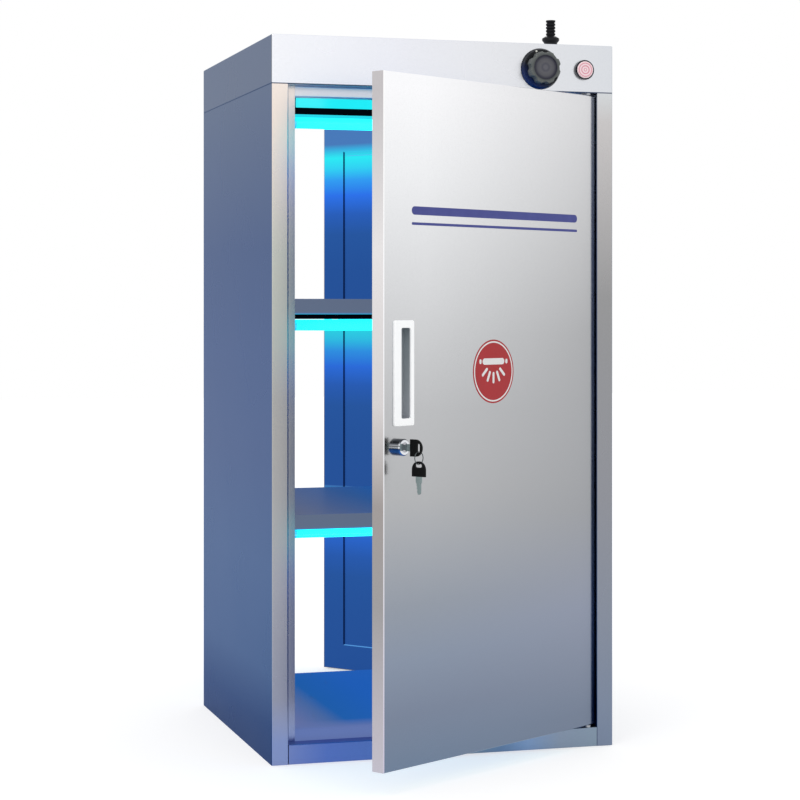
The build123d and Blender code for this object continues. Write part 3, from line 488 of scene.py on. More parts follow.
# %% Finish the doors
# Painted light and shade by height, on the free edge and on the hinge side of the face.
DOOR_FREE_PAINTED_LIGHT = [
    (0.03, 112, 129, 152), (0.10, 119, 130, 150), (0.17, 131, 142, 160), (0.24, 142, 149, 160),
    (0.38, 173, 174, 176), (0.49, 185, 186, 188), (0.80, 239, 240, 242), (0.91, 251, 251, 253),
]
DOOR_HINGE_PAINTED_LIGHT = [
    (0.05, 115, 126, 145), (0.20, 137, 144, 161), (0.34, 152, 154, 158), (0.59, 172, 173, 175),
    (0.91, 217, 217, 219),
]
# The folded edge's run is painted light and shade, and the bend's run is a painted highlight.
DOOR_EDGE_PAINTED_LIGHT = [
    (0.04, 194, 188, 197), (0.24, 154, 152, 153), (0.37, 157, 151, 149), (0.50, 212, 208, 208),
    (0.70, 232, 229, 229), (0.90, 198, 194, 196),
]
DOOR_BEND_HIGHLIGHT = [(0.05, 200, 194, 212), (0.37, 224, 224, 228), (0.66, 252, 252, 254), (0.9, 255, 255, 255)]
DOOR_HINGE = Vector((0.214, -0.2325, 0.0))
DOOR_ACROSS = Vector((0.8517, 0.5240, 0.0))
DOOR_OUT = Vector((0.5240, -0.8517, 0.0))
DOOR_WIDTH = 0.438
FREE_BAND = 0.08
BEND_HIGHLIGHT_RANGE = (0.1, 0.3)
EDGE = (0.85, 0.98)


def door_painted_light(tree):
    free = DOOR_HINGE - DOOR_ACROSS * (DOOR_WIDTH - FREE_BAND)
    face = mixed(
        tree,
        share_of(tree, free, DOOR_HINGE),
        by_height(tree, DOOR_FREE_PAINTED_LIGHT),
        by_height(tree, DOOR_HINGE_PAINTED_LIGHT),
    )
    bend = mixed(tree, facing(tree, -DOOR_ACROSS, *BEND_HIGHLIGHT_RANGE), face, by_height(tree, DOOR_BEND_HIGHLIGHT))
    return mixed(tree, facing(tree, -DOOR_ACROSS, *EDGE), bend, by_height(tree, DOOR_EDGE_PAINTED_LIGHT))


door_steel = satin_finish("front door steel", door_painted_light, roughness=0.2, cloud=0.03)
# The rear door's skin takes the hinge side's painted light and shade.
rear_door_steel = satin_finish(
    "rear door steel", lambda tree: by_height(tree, DOOR_HINGE_PAINTED_LIGHT), roughness=0.22, cloud=0.04
)
wear_on(["front_door_skin"], door_steel)
wear_on(["rear_door_skin"], rear_door_steel)

# %% [markdown]
# ## The light in the chamber
# Inside, everything takes its colour from the lamps: bright cyan beside a tube, and deep blue a hand's width
# below it. A render can work that out from the tubes alone, but slowly and with noise, and the metal would
# lose the look when it is exported. So the group below turns the height under the nearest lamp into a
# colour, which repeats in each of the three bays, and the pieces of the chamber pass it on as a faint light.

# %% Build the group for the lamps' light
TOP_LAMP = 0.891
BAY_PITCH = 0.295
BAY_START = 0.018
CHAMBER_FOOT = 0.055
# The lamps' light, painted as a run of colours down each bay.
BAY_PAINTED_LAMP_LIGHT = [
    (0.0, 76, 124, 182), (0.03, 58, 184, 228), (0.08, 40, 255, 255), (0.14, 46, 230, 255),
    (0.21, 48, 168, 255), (0.30, 42, 116, 246), (0.41, 36, 90, 186), (0.53, 32, 78, 148),
    (0.73, 29, 71, 138), (1.0, 29, 68, 134),
]


def make_lamp_light_group():
    group, start, end = new_group(
        "lamp light",
        [("Top Lamp", "Float", TOP_LAMP), ("Bay Pitch", "Float", BAY_PITCH)],
        [("Colour", "Color")],
    )
    height = worked(group, "MAXIMUM", along(group, "Z"), CHAMBER_FOOT)
    below = worked(group, "SUBTRACT", start.outputs["Top Lamp"], height)
    from_top = worked(group, "MAXIMUM", worked(group, "ADD", below, BAY_START), 0.0)
    bays = worked(group, "DIVIDE", from_top, start.outputs["Bay Pitch"])
    colour = run_of_tones(group, worked(group, "FRACT", bays), BAY_PAINTED_LAMP_LIGHT)
    group.links.new(colour, end.inputs["Colour"])
    return group


lamp_light_group = make_lamp_light_group()


def lamp_light(tree):
    """The lamps' light at a height."""
    return use_group(tree, lamp_light_group)["Colour"]


# %% Finish the chamber's walls
def chamber_steel(name, colour, make_glow, roughness=0.3, glow=0.8, **constants):
    """Sheet metal in the chamber, which passes on the lamps' light."""
    return satin_finish(name, colour, make_glow, roughness, Emission_Strength=glow, **constants)


# The ceiling's underside is painted with the cyan light of the lamp below, and its other faces with dark
# shade.
def ceiling_glow(tree):
    return mixed(tree, facing(tree, (0, 0, -1)), tone(8, 20, 40), tone(34, 240, 244))


CEILING_TINT = (0.0, 0.3, 0.4, 1)
# The walls' blue base colour is painted lamp light, not the colour of the steel.
PAINTED_LAMP_BLUE = (24, 52, 96)
wall_steel = chamber_steel("chamber steel", PAINTED_LAMP_BLUE, lamp_light)
ceiling_steel = chamber_steel(
    "ceiling steel", (10, 34, 50), ceiling_glow, glow=0.92, Specular_Tint=CEILING_TINT
)
wear_on(["left_inner_wall", "right_inner_wall", "front_door_liner"], wall_steel)
wear_on(["ceiling_panel"], ceiling_steel)

# %% [markdown]
# ## The groove in the rear door
# The liner of a door is stiffened by a groove that is pressed all round it. Its upright flanks turn away from
# the lamps, so they are painted nearly black as shade, and the one along its foot is painted as a light line,
# a painted highlight. The groove itself is in the CAD, so masks of the way a face looks are enough to pick
# out its flanks. This door stands open behind the chamber, so the painted light on it also gets fainter from
# the head to the foot.

# %% Finish the rear door's liner
REAR_DOOR_TURN = math.radians(51.9)
LEAF_ALONG = Vector((-math.cos(REAR_DOOR_TURN), math.sin(REAR_DOOR_TURN), 0))
LEAF_HEAD = (0, 0, 0.9)
LEAF_DIM = (0, 0, 0.3)
LEAF_FADE = 0.5
SLOPING = (0.3, 0.6)


def pressed_glow(tree):
    # Painted shade on the upright flanks, a painted light line along the foot, and painted light fading down
    # the door.
    near_flank = facing(tree, LEAF_ALONG, *SLOPING)
    far_flank = facing(tree, -LEAF_ALONG, *SLOPING)
    shade = worked(tree, "MAXIMUM", near_flank, far_flank)
    fade = worked(tree, "MULTIPLY", share_of(tree, LEAF_HEAD, LEAF_DIM), LEAF_FADE)
    light = mixed(tree, fade, lamp_light(tree), tone(29, 70, 136))
    shaded = mixed(tree, shade, light, tone(8, 22, 52))
    return mixed(tree, facing(tree, (0, 0, 1), *SLOPING), shaded, tone(96, 168, 236))


wear_on(["rear_door_liner"], chamber_steel("pressed liner steel", PAINTED_LAMP_BLUE, pressed_glow))

# %% [markdown]
# ## Shelves and floor
# The front of a shelf is a plain grey fold that faces the room, with a painted blue line of light along its
# lower edge from the lamp below. Its top is painted from grey near the opening to blue at the far side, as
# the lamps' light, and its underside is painted cyan, lit by the lamp below it. The floor's painted light is
# bluer, with its own tone along its front. Both are seen nearly edge on, where a full metal would be a white
# mirror, so they are set to be less metallic.

# %% Finish the shelves and the floor
SHELF_FOOT = 0.3185
SHELF_PITCH = 0.298
SHELF_LEFT = (-0.21, 0, 0)
SHELF_BLUE = (0.05, 0, 0)
FLOOR_BLUE = (-0.04, 0, 0)
FLOOR_FRONT = (0, -0.213, 0)
FLOOR_SHADE = (0, -0.16, 0)
SHELF_FRONT_PAINTED_LIGHT = [(0.0, 92, 134, 186), (0.005, 90, 122, 168), (0.009, 101, 111, 129), (1.0, 103, 110, 130)]
SHELF_TOP_PAINTED_LIGHT = [(0.0, 96, 103, 130), (0.6, 52, 88, 148), (1.0, 4, 84, 168)]
FLOOR_PAINTED_LIGHT = [(0.0, 116, 124, 170), (0.35, 78, 110, 166), (0.5, 34, 98, 176), (1.0, 34, 98, 190)]


# Painted lamp light: the shelf's front, its top, and a cyan underside lit by the lamp below.
def shelf_glow(tree):
    rise = worked(tree, "SUBTRACT", along(tree, "Z"), SHELF_FOOT)
    share = worked(tree, "FRACT", worked(tree, "DIVIDE", rise, SHELF_PITCH))
    front = run_of_tones(tree, share, SHELF_FRONT_PAINTED_LIGHT)
    top = run_of_tones(tree, share_of(tree, SHELF_LEFT, SHELF_BLUE), SHELF_TOP_PAINTED_LIGHT)
    lit = mixed(tree, facing(tree, (0, 0, 1)), front, top)
    return mixed(tree, facing(tree, (0, 0, -1)), lit, tone(40, 200, 245))


def floor_glow(tree):
    top = run_of_tones(tree, share_of(tree, SHELF_LEFT, FLOOR_BLUE), FLOOR_PAINTED_LIGHT)
    return mixed(tree, share_of(tree, FLOOR_FRONT, FLOOR_SHADE), tone(104, 122, 176), top)


SHELF_SHINE = {"Metallic": 0.4, "Specular_IOR_Level": 0.0, "Specular_Tint": (0, 0, 0, 1)}
shelf_steel = chamber_steel("shelf steel", (58, 70, 90), shelf_glow, **SHELF_SHINE)
tray_steel = chamber_steel("floor tray steel", (40, 60, 100), floor_glow, roughness=0.25, **SHELF_SHINE)
wear_on(["lower_shelf", "upper_shelf", "shelf_rails"], shelf_steel)
wear_on(["floor_tray"], tray_steel)


# %% [markdown]
# ## The lamps
# A lamp of this kind is a clear glass tube with glowing gas. It could be made as glass round a glowing core,
# but at this distance only the glow shows, so the tube itself gives the light, along its whole length and a
# little less at its ends, where the filaments are.


# %% Finish the lamps
FILAMENT_START = 0.145
FILAMENT_END = 0.182
GAS_MIDDLE = (0.006, 0.62, 0.66, 1)
GAS_END = (0.005, 0.40, 0.50, 1)


def lamp_finish():
    material, tree, shader = new_finish(
        "lamp glow", Roughness=0.15, Emission_Strength=3.0, Base_Color=tone(120, 220, 255)
    )
    from_middle = worked(tree, "ABSOLUTE", along(tree, "X"))
    fade = ramp_up(tree, from_middle, FILAMENT_START, FILAMENT_END)
    glow = mixed(tree, fade, GAS_MIDDLE, GAS_END)
    tree.links.new(glow, shader.inputs["Emission Color"])
    return material


wear_on(["uv_tubes"], lamp_finish())
tube_low, tube_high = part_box("uv_tubes")
print("lamp tubes from and to:", [round(v, 3) for v in (*tube_low, *tube_high)])


# %% [markdown]
# ## The reflectors
# Over each lamp hangs a folded channel. Its outside is black, so from the front it shows as a dark lip, and
# the light of the tube on its inside is painted as a cyan glow. The mesh comes from CAD in one piece, so a
# mask tells the two apart. It needs both the place, behind the lip, and the way a face looks.


# %% Finish the reflectors
channel_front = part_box("lamp_reflectors")[0].y
LIP_DEPTH = 0.004


# The inside of the channel is painted with the tube's cyan light. The outside stays black.
def reflector_glow(tree):
    lip = (0, channel_front + LIP_DEPTH, 0)
    inside = share_of(tree, lip, (0, channel_front + 2 * LIP_DEPTH, 0))
    down = facing(tree, (0, 0, -1), *SLOPING)
    front = worked(tree, "MULTIPLY", inside, facing(tree, (0, -1, 0), *SLOPING))
    lit = worked(tree, "MAXIMUM", down, front)
    return mixed(tree, lit, (0, 0, 0, 1), tone(44, 228, 246))


reflector_black = chamber_steel("reflector black", (7, 9, 16), reflector_glow, roughness=0.35, glow=0.9)
wear_on(["lamp_reflectors"], reflector_black)


# %% [markdown]
# ## A group for moulded plastic and paint
# Moulded and painted parts share two things: a fine texture from the mould or the spray, and slight changes
# of gloss from handling. One group makes both from noise, and each material sets its own sizes.


# %% Build the moulded group
PATCH_SCALE = 60.0
WORN_FROM = 0.45
WORN_TO = 0.75
GLOSS_SPREAD = 0.12


def make_moulded_group():
    group, start, end = new_group(
        "moulded skin",
        [
            ("Colour", "Color", (0.1, 0.1, 0.1, 1)),
            ("Worn Colour", "Color", (0.2, 0.2, 0.2, 1)),
            ("Wear", "Float", 0.2),
            ("Grain Size", "Float", 0.0006),
            ("Roughness", "Float", 0.4),
        ],
        [("Colour", "Color"), ("Roughness", "Float"), ("Height", "Float")],
    )
    link = group.links.new
    grain = noise(group, worked(group, "DIVIDE", 1.0, start.outputs["Grain Size"]), 3.0)
    patch = noise(group, PATCH_SCALE, 4.0)
    mask = ramp_up(group, patch, WORN_FROM, WORN_TO, "LINEAR")
    amount = worked(group, "MULTIPLY", mask, start.outputs["Wear"])
    link(mixed(group, amount, start.outputs["Colour"], start.outputs["Worn Colour"]), end.inputs["Colour"])
    rough = worked(group, "MULTIPLY_ADD", patch, GLOSS_SPREAD, start.outputs["Roughness"])
    link(rough, end.inputs["Roughness"])
    link(grain, end.inputs["Height"])
    return group


moulded_group = make_moulded_group()


# %% Make a moulded or painted material from the group
def moulded_finish(name, colour, worn, grain=0.0006, roughness=0.4, wear=0.2, bump=0.15, **constants):
    """The colour is a screen colour, or a maker of one that varies."""
    material, tree, shader = new_finish(name, **constants)
    values = {"Colour": painted(tree, colour), "Worn_Colour": tone(*worn), "Wear": wear}
    put_on_skin(tree, shader, moulded_group, bump, **values, Grain_Size=grain, Roughness=roughness)
    return material


# %% [markdown]
# ## Small parts behind the panels
# The ballasts, the terminal block, the lamp holders and the brackets hardly show, but the part is also looked
# at from behind and with its doors moved, so each gets the finish that such a part is sold with. The lamp
# ends stand in the glow of the tubes: the colours of holders and caps are tinted cyan with painted light, and
# they pass a little of it on as a painted glow.

# %% Finish the electrical parts
# The tubes' cyan light, painted onto the lamp ends as a glow.
LAMP_SPILL = tone(30, 190, 220)
SOCKET_GLOW = {"Emission_Color": LAMP_SPILL, "Emission_Strength": 0.5}
CAP_GLOW = {"Emission_Color": LAMP_SPILL, "Emission_Strength": 1.0}
PLATED = {"roughness": 0.3, "Metallic": 1.0}
plated_steel = moulded_finish("plated bracket", (150, 156, 164), (120, 126, 134), **PLATED)
lamp_socket = moulded_finish("lamp socket", (210, 232, 240), (190, 216, 226), **SOCKET_GLOW)
lamp_cap = moulded_finish("lamp cap", (150, 200, 214), (130, 180, 200), **CAP_GLOW, **PLATED)
wear_on(["lamp_brackets", "button_nut", "front_lock_nut", "rear_lock_nut"], plated_steel)
wear_on(["lamp_holders"], lamp_socket)
wear_on(["tube_caps"], lamp_cap)
wear_on(["ballasts"], moulded_finish("ballast paint", (206, 206, 200), (190, 190, 184)))
wear_on(["terminal_block"], moulded_finish("terminal plastic", (216, 212, 200), (200, 196, 184)))
wear_on(["timer_body", "button_switch"], moulded_finish("case plastic", (30, 31, 34), (48, 50, 54)))
wear_on(["timer_shaft"], moulded_finish("shaft brass", (196, 160, 92), (160, 130, 80), **PLATED))

# %% Finish the hinges and pivots
hinge_steel = moulded_finish("hinge steel", (164, 167, 173), (138, 142, 150), **PLATED)
wear_on(["front_pivot_blocks"], moulded_finish("pivot nylon", (60, 66, 78), (80, 86, 96)))
wear_on(["front_pivot_pins", "rear_hinge_pins"], hinge_steel)
wear_on(["rear_hinge_frames", "rear_hinge_leaves"], hinge_steel)

# %% [markdown]
# ## The handle
# The flush handle is a white moulding round a pressed cup. The cup is paint on steel, and darker at its top,
# where the finger recess is in shade. Soft light from all sides would wash that shade out, so a run of tones
# by height gives it.


# %% Finish the handle
def cup_tone(tree):
    low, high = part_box("front_handle_cup")
    share = share_of(tree, (0, 0, low.z), (0, 0, high.z))
    stops = [(0.0, 196, 200, 206), (0.5, 180, 187, 192), (0.94, 168, 178, 184), (1.0, 120, 128, 136)]
    return run_of_tones(tree, share, stops)


# A faint white glow is painted light on the white plastic, so that it stays as bright as a lit white.
WHITE_PAINTED_GLOW = {"Emission_Color": (1, 1, 1, 1), "Emission_Strength": 0.22}
handle_white = moulded_finish(
    "handle plastic", (252, 254, 255), (242, 245, 249), roughness=0.25, wear=0.4, **WHITE_PAINTED_GLOW
)
wear_on(["front_handle_frame", "rear_handle_frame"], handle_white)
wear_on(["front_handle_cup"], moulded_finish("front cup paint", cup_tone, (150, 156, 160)))
wear_on(["rear_handle_cup"], moulded_finish("rear cup paint", (150, 158, 162), (136, 144, 148)))

# %% [markdown]
# ## The lock and its keys
# Chrome has no colour of its own: it shows the room as bright and dark bands that follow its curve. A soft
# white studio has no such bands, so the barrel's colour has them as a painted reflection, set by the way
# each point faces, from blue below over a bright line to black and bright again above.

# %% Finish the lock and the keys
CHROME_PAINTED_REFLECTION = [
    (0.0, 26, 60, 110), (0.16, 34, 92, 168), (0.34, 26, 70, 134), (0.41, 40, 48, 66),
    (0.47, 214, 217, 222), (0.53, 226, 228, 232), (0.60, 70, 74, 82), (0.68, 232, 234, 238),
    (0.78, 120, 124, 132), (0.88, 24, 26, 32), (1.0, 60, 64, 72),
]


def chrome_painted_reflection(tree):
    return run_of_tones(tree, facing(tree, (0, 0, 1), -1.0, 1.0), CHROME_PAINTED_REFLECTION)


lock_chrome = moulded_finish(
    "lock chrome", chrome_painted_reflection, (190, 196, 204), roughness=0.08, wear=0.1, bump=0.02, Metallic=1.0
)
plug_chrome = moulded_finish("plug chrome", (176, 176, 182), (140, 144, 152), roughness=0.1, Metallic=1.0)
cam_zinc = moulded_finish("cam zinc", (168, 170, 172), (140, 144, 150), **PLATED)
key_nickel = moulded_finish("key nickel", (128, 142, 143), (96, 108, 110), roughness=0.22, Metallic=1.0)
key_black = moulded_finish("key plastic", (7, 7, 9), (12, 13, 15), roughness=0.35, Specular_IOR_Level=0.08)
ring_steel = moulded_finish("ring steel", (92, 98, 100), (70, 76, 78), roughness=0.4, Metallic=1.0)
wear_on(["front_lock_barrel", "rear_lock_barrel"], lock_chrome)
wear_on(["front_lock_plug", "rear_lock_plug"], plug_chrome)
wear_on(["front_lock_cam", "rear_lock_cam"], cam_zinc)
wear_on(["key_blade", "spare_key_blade"], key_nickel)
wear_on(["key_bow", "spare_key_bow"], key_black)
wear_on(["key_ring"], ring_steel)

# %% [markdown]
# ## The gland
# The gland has a body and a nut of black nylon, and a ribbed rubber sleeve that bends easily. Both are nearly
# black, so their shine is turned down: in a white studio the usual shine of plastic would make them grey. The
# ring round the push button is black chrome, so it is a dark and smooth metal.

# %% Finish the gland and the bezel
gland_plastic = moulded_finish(
    "gland plastic", (12, 13, 18), (26, 28, 36), roughness=0.35, Specular_IOR_Level=0.25
)
gland_rubber = moulded_finish("gland rubber", (8, 9, 14), (22, 24, 34), roughness=0.5, Specular_IOR_Level=0.2)
bezel_chrome = moulded_finish("bezel black chrome", (40, 42, 50), (28, 30, 36), roughness=0.14, Metallic=1.0)
wear_on(["gland_body", "gland_nut"], gland_plastic)
wear_on(["strain_relief"], gland_rubber)
wear_on(["button_bezel"], bezel_chrome)

# %% [markdown]
# ## The timer knob
# The knob is one moulding in two tones: a glossy black skirt with a white mark, and a grey satin grip with a
# dish in its face. The grip has rings of lighter and darker grey round its axis, and the skirt's lower left
# has a painted blue reflection. The tone changes with the distance from the knob's axis and with how far a
# point stands out from the header, so both are read from the object's own coordinates.

# %% Finish the knob
knob_low, knob_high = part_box("timer_knob")
knob_centre = (knob_low + knob_high) / 2
KNOB_RADIUS = (knob_high.x - knob_low.x) / 2
SKIRT_END = knob_high.y - 0.0075
GRIP_START = SKIRT_END - 0.0012
BLUE_REFLECTION_SIDE = Vector((-0.6, 0, -0.8)) * KNOB_RADIUS
KNOB_RINGS = [
    (0.0, 104, 104, 112), (0.10, 100, 100, 108), (0.17, 82, 82, 92), (0.27, 98, 98, 104),
    (0.42, 88, 88, 94), (0.50, 62, 62, 74), (0.58, 42, 42, 56), (0.62, 84, 88, 88), (0.72, 104, 108, 106),
    (1.0, 86, 90, 90),
]


def knob_tone(tree):
    rings = run_of_tones(tree, from_axis(tree, knob_centre, KNOB_RADIUS), KNOB_RINGS)
    # A painted blue reflection on the skirt's lower left.
    blue = share_of(tree, knob_centre + BLUE_REFLECTION_SIDE * 0.25, knob_centre + BLUE_REFLECTION_SIDE)
    skirt = mixed(tree, blue, tone(13, 16, 22), tone(14, 44, 104))
    grip = share_of(tree, (0, SKIRT_END, 0), (0, GRIP_START, 0))
    return mixed(tree, grip, skirt, rings)


knob_plastic = moulded_finish(
    "knob plastic", knob_tone, (60, 62, 68), 0.0005, 0.36, wear=0.12, Specular_IOR_Level=0.25
)
wear_on(["timer_knob"], knob_plastic)
print("knob centre:", [round(v, 4) for v in knob_centre])


# %% [markdown]
# ## Pieces of our own
# A few things are too small or too plain for CAD: printed marks, screws and the lens of the button. Each one
# is a closed mesh whose place is in its vertices, because the export puts every object at the origin.


# %% Helpers for meshes
EAST = Vector((1, 0, 0))
REAR = Vector((0, 1, 0))
FRONT = Vector((0, -1, 0))
SKY = Vector((0, 0, 1))


def add_piece(name, mesh, material, body):
    """A piece with a material that rides on a body."""
    piece = bpy.data.objects.new(name, mesh)
    scene.collection.objects.link(piece)
    mesh.materials.clear()
    mesh.materials.append(material)
    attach(piece, body)
    return piece


def placed(origin, across, up, out):
    """A matrix that carries local X, Y and Z to three directions at a place."""
    return Matrix.Translation(origin) @ Matrix((across, up, out)).transposed().to_4x4()


def finished_mesh(name, build, matrix, smooth):
    """A mesh from a bmesh, with its faces outwards, at its place."""
    bmesh.ops.recalc_face_normals(build, faces=build.faces)
    build.transform(matrix)
    mesh = bpy.data.meshes.new(name)
    build.to_mesh(mesh)
    build.free()
    if smooth:
        mesh.shade_smooth()
    else:
        mesh.shade_flat()
    return mesh


def circle(radius, steps):
    """Points round a circle in local X and Y."""
    turns = [math.tau * step / steps for step in range(steps)]
    return [(radius * math.cos(turn), radius * math.sin(turn)) for turn in turns]


def turned(name, profile, matrix, steps=64, waves=(1.0,)):
    """A closed turned shape from radius and height pairs that start and end on the axis."""
    build = bmesh.new()
    rings = []
    for radius, height, *star in profile:
        if radius == 0:
            rings.append([build.verts.new((0, 0, height))])
            continue
        ring = []
        for step, (x, y) in enumerate(circle(radius, steps)):
            reach = waves[step % len(waves)] if star else 1.0
            ring.append(build.verts.new((x * reach, y * reach, height)))
        rings.append(ring)
    for inner, outer in zip(rings, rings[1:]):
        for step in range(steps):
            after = (step + 1) % steps
            corners = [inner[step % len(inner)], outer[step % len(outer)]]
            corners += [outer[after % len(outer)], inner[after % len(inner)]]
            build.faces.new(list(dict.fromkeys(corners)))
    return finished_mesh(name, build, matrix, True)


def plates(name, outlines, thickness, matrix):
    """Closed plates from outlines in local X and Y, with one thickness along local Z."""
    build = bmesh.new()
    for outline in outlines:
        low = [build.verts.new((x, y, 0)) for x, y in outline]
        high = [build.verts.new((x, y, thickness)) for x, y in outline]
        build.faces.new(list(reversed(low)))
        build.faces.new(high)
        for step in range(len(outline)):
            after = (step + 1) % len(outline)
            build.faces.new((low[step], low[after], high[after], high[step]))
    return finished_mesh(name, build, matrix, False)


# %% [markdown]
# ## The push button
# The lens of the button is clear pink plastic with rings moulded into its face, which catch the light as
# bright circles round a dot. Turning a stepped profile makes the rings as real relief, and the lens's colour
# adds them as painted highlights with darker pink between. The lens is lit from within, so it glows a little
# in the same colours.

# %% Make the lens
lens_low, lens_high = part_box("power_button")
lens_axis = Vector(((lens_low.x + lens_high.x) / 2, lens_low.y, (lens_low.z + lens_high.z) / 2))
LENS_RADIUS = (lens_high.x - lens_low.x) / 2
LENS_FACE = LENS_RADIUS * 0.80
LENS_STEM = LENS_RADIUS * 0.72
LENS_DEPTH = lens_high.y - lens_low.y
LENS_RINGS = 3
CREST = 0.0001
VALLEY = 0.0005
SLOPE = 0.0012
lens_profile = [(0.0, 0.0), (SLOPE, -CREST)]
for ring in range(1, LENS_RINGS + 1):
    crest = LENS_FACE * ring / LENS_RINGS
    sink = CREST if ring < LENS_RINGS else 2.5 * CREST
    lens_profile += [(crest - SLOPE, -VALLEY), (crest, -sink)]
lens_profile += [(LENS_RADIUS * 0.97, -0.0007), (LENS_RADIUS, -0.0013), (LENS_RADIUS, -0.0021)]
lens_profile += [(LENS_STEM, -0.0022), (LENS_STEM, -LENS_DEPTH), (0.0, -LENS_DEPTH)]
# The rings' bright circles are painted highlights in the colour, with darker pink between.
LENS_PAINTED_HIGHLIGHTS = [
    (0.0, 255, 248, 248), (0.08, 255, 240, 242), (0.15, 226, 128, 148), (0.24, 252, 222, 228),
    (0.34, 255, 236, 240), (0.46, 222, 126, 146), (0.56, 250, 214, 222), (0.66, 255, 236, 240),
    (0.78, 224, 134, 152), (0.86, 250, 212, 218), (1.0, 255, 232, 234),
]


def lens_finish():
    material, tree, shader = new_finish(
        "lens plastic", Roughness=0.12, Coat_Weight=0.4, Emission_Strength=0.10
    )
    colour = run_of_tones(tree, from_axis(tree, lens_axis, LENS_RADIUS), LENS_PAINTED_HIGHLIGHTS)
    tree.links.new(colour, shader.inputs["Base Color"])
    tree.links.new(colour, shader.inputs["Emission Color"])
    return material


lens_mesh = turned("button_lens", lens_profile, placed(lens_axis, EAST, SKY, FRONT))
lens = add_piece("button_lens", lens_mesh, lens_finish(), "power_button")
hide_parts("power_button")
print("lens rings:", LENS_RINGS)

# %% [markdown]
# ## The mark on the knob
# A white dot on the skirt shows where the timer stands. A mask in the knob's material could paint it, but a
# low dome of its own has a crisp edge, still shows from the side, and turns with the knob.

# %% Make the knob's mark
MARK_TURN = math.radians(109)
MARK_RADIUS = 0.0252
SKIRT_THICKNESS = 0.0058
skirt_centre = Vector((knob_centre.x, knob_high.y - SKIRT_THICKNESS, knob_centre.z))
mark_place = skirt_centre + (EAST * math.cos(MARK_TURN) + SKY * math.sin(MARK_TURN)) * MARK_RADIUS
mark_profile = [(0.0, 0.0009), (0.0008, 0.0008), (0.0014, 0.0004), (0.0015, -0.001), (0.0, -0.001)]
mark_white = moulded_finish("mark white", (240, 242, 232), (220, 222, 214))
mark_mesh = turned("knob_mark", mark_profile, placed(mark_place, EAST, SKY, FRONT), steps=24)
add_piece("knob_mark", mark_mesh, mark_white, "timer_knob")

# %% [markdown]
# ## Printed marks on the door
# The door carries two prints: a double pinstripe across the upper half, and a red disc that shows a lamp with
# its rays. Each print is a film a tenth of a millimetre thick, laid on the door's face, so it needs no image
# and stays sharp from close by.

# %% Helpers for the prints
FILM = 0.00012
DOOR_FACE = 0.005


def on_door(inset, height, lift=0.0):
    """A matrix for a print: X goes to the hinge, Y goes up, and Z out of the door's face."""
    origin = DOOR_HINGE + DOOR_ACROSS * (inset - DOOR_WIDTH) + DOOR_OUT * (DOOR_FACE + lift)
    return placed(origin + SKY * height, DOOR_ACROSS, SKY, DOOR_OUT)


def capsule(length, width, turn=0.0, centre=(0.0, 0.0), steps=12):
    """The outline of a bar with round ends."""
    outline = []
    for end in (1, -1):
        for step in range(steps + 1):
            angle = math.pi * (step / steps - 0.5)
            x = end * (length - width + width * math.cos(angle)) / 2
            y = end * width * math.sin(angle) / 2
            outline.append((x, y))
    cos, sin = math.cos(turn), math.sin(turn)
    return [(centre[0] + x * cos - y * sin, centre[1] + x * sin + y * cos) for x, y in outline]


# %% Print the pinstripes
INK = {"grain": 0.0004, "bump": 0.05}
STRIPE_LENGTH = 0.352
STRIPE_INSET = 0.230
STRIPE_HEIGHT = 0.7435
WIDE_STRIPE = capsule(STRIPE_LENGTH, 0.011, centre=(0, 0.008))
FINE_STRIPE = capsule(STRIPE_LENGTH, 0.0035, centre=(0, -0.009))
stripe_place = on_door(STRIPE_INSET, STRIPE_HEIGHT)
stripe_mesh = plates("door_stripes", [WIDE_STRIPE, FINE_STRIPE], FILM, stripe_place)
stripe_blue = moulded_finish("stripe ink", (58, 66, 148), (74, 82, 160), wear=0.5, **INK)
add_piece("door_stripes", stripe_mesh, stripe_blue, "front_door")
print("pinstripe length:", STRIPE_LENGTH)

# %% Print the lamp sign
SIGN_INSET = 0.220
SIGN_HEIGHT = 0.5395
SIGN_RADIUS = 0.043
SIGN_STEPS = 96
TUBE = (0.046, 0.0085)
TUBE_LIFT = 0.0135
PIN = (0.0065, 0.0045)
PIN_PLACE = 0.0275
RAY = (0.0155, 0.0040)
RAY_COUNT = 5
RAY_SPREAD = 96
RAY_REACH = 0.0235
RAY_LIFT = 0.0150
RAY_WIDEN = 1.05
sign_red = moulded_finish("sign red", (178, 14, 26), (192, 34, 44), wear=0.4, **INK)
sign_white = moulded_finish("sign white", (250, 250, 250), (240, 240, 242), wear=0.4, **INK)
disc = circle(SIGN_RADIUS, SIGN_STEPS)
disc_mesh = plates("sign_disc", [disc], FILM, on_door(SIGN_INSET, SIGN_HEIGHT))
add_piece("sign_disc", disc_mesh, sign_red, "front_door")

figures = [capsule(*TUBE, centre=(0, TUBE_LIFT))]
figures += [capsule(*PIN, math.pi / 2, (side * PIN_PLACE, TUBE_LIFT)) for side in (-1, 1)]
for ray in range(RAY_COUNT):
    lean = math.radians(RAY_SPREAD * (ray / (RAY_COUNT - 1) - 0.5))
    centre = (RAY_REACH * RAY_WIDEN * math.sin(lean), RAY_LIFT - RAY_REACH * math.cos(lean))
    figures.append(capsule(*RAY, lean - math.pi / 2, centre))
figure_place = on_door(SIGN_INSET, SIGN_HEIGHT, FILM * 0.9)
add_piece("sign_lamp", plates("sign_lamp", figures, FILM, figure_place), sign_white, "front_door")
print("rays under the lamp:", RAY_COUNT)


# %% Print the ring round the sign
RING_EDGE = 0.0022
RING_WIDTH = 0.0020


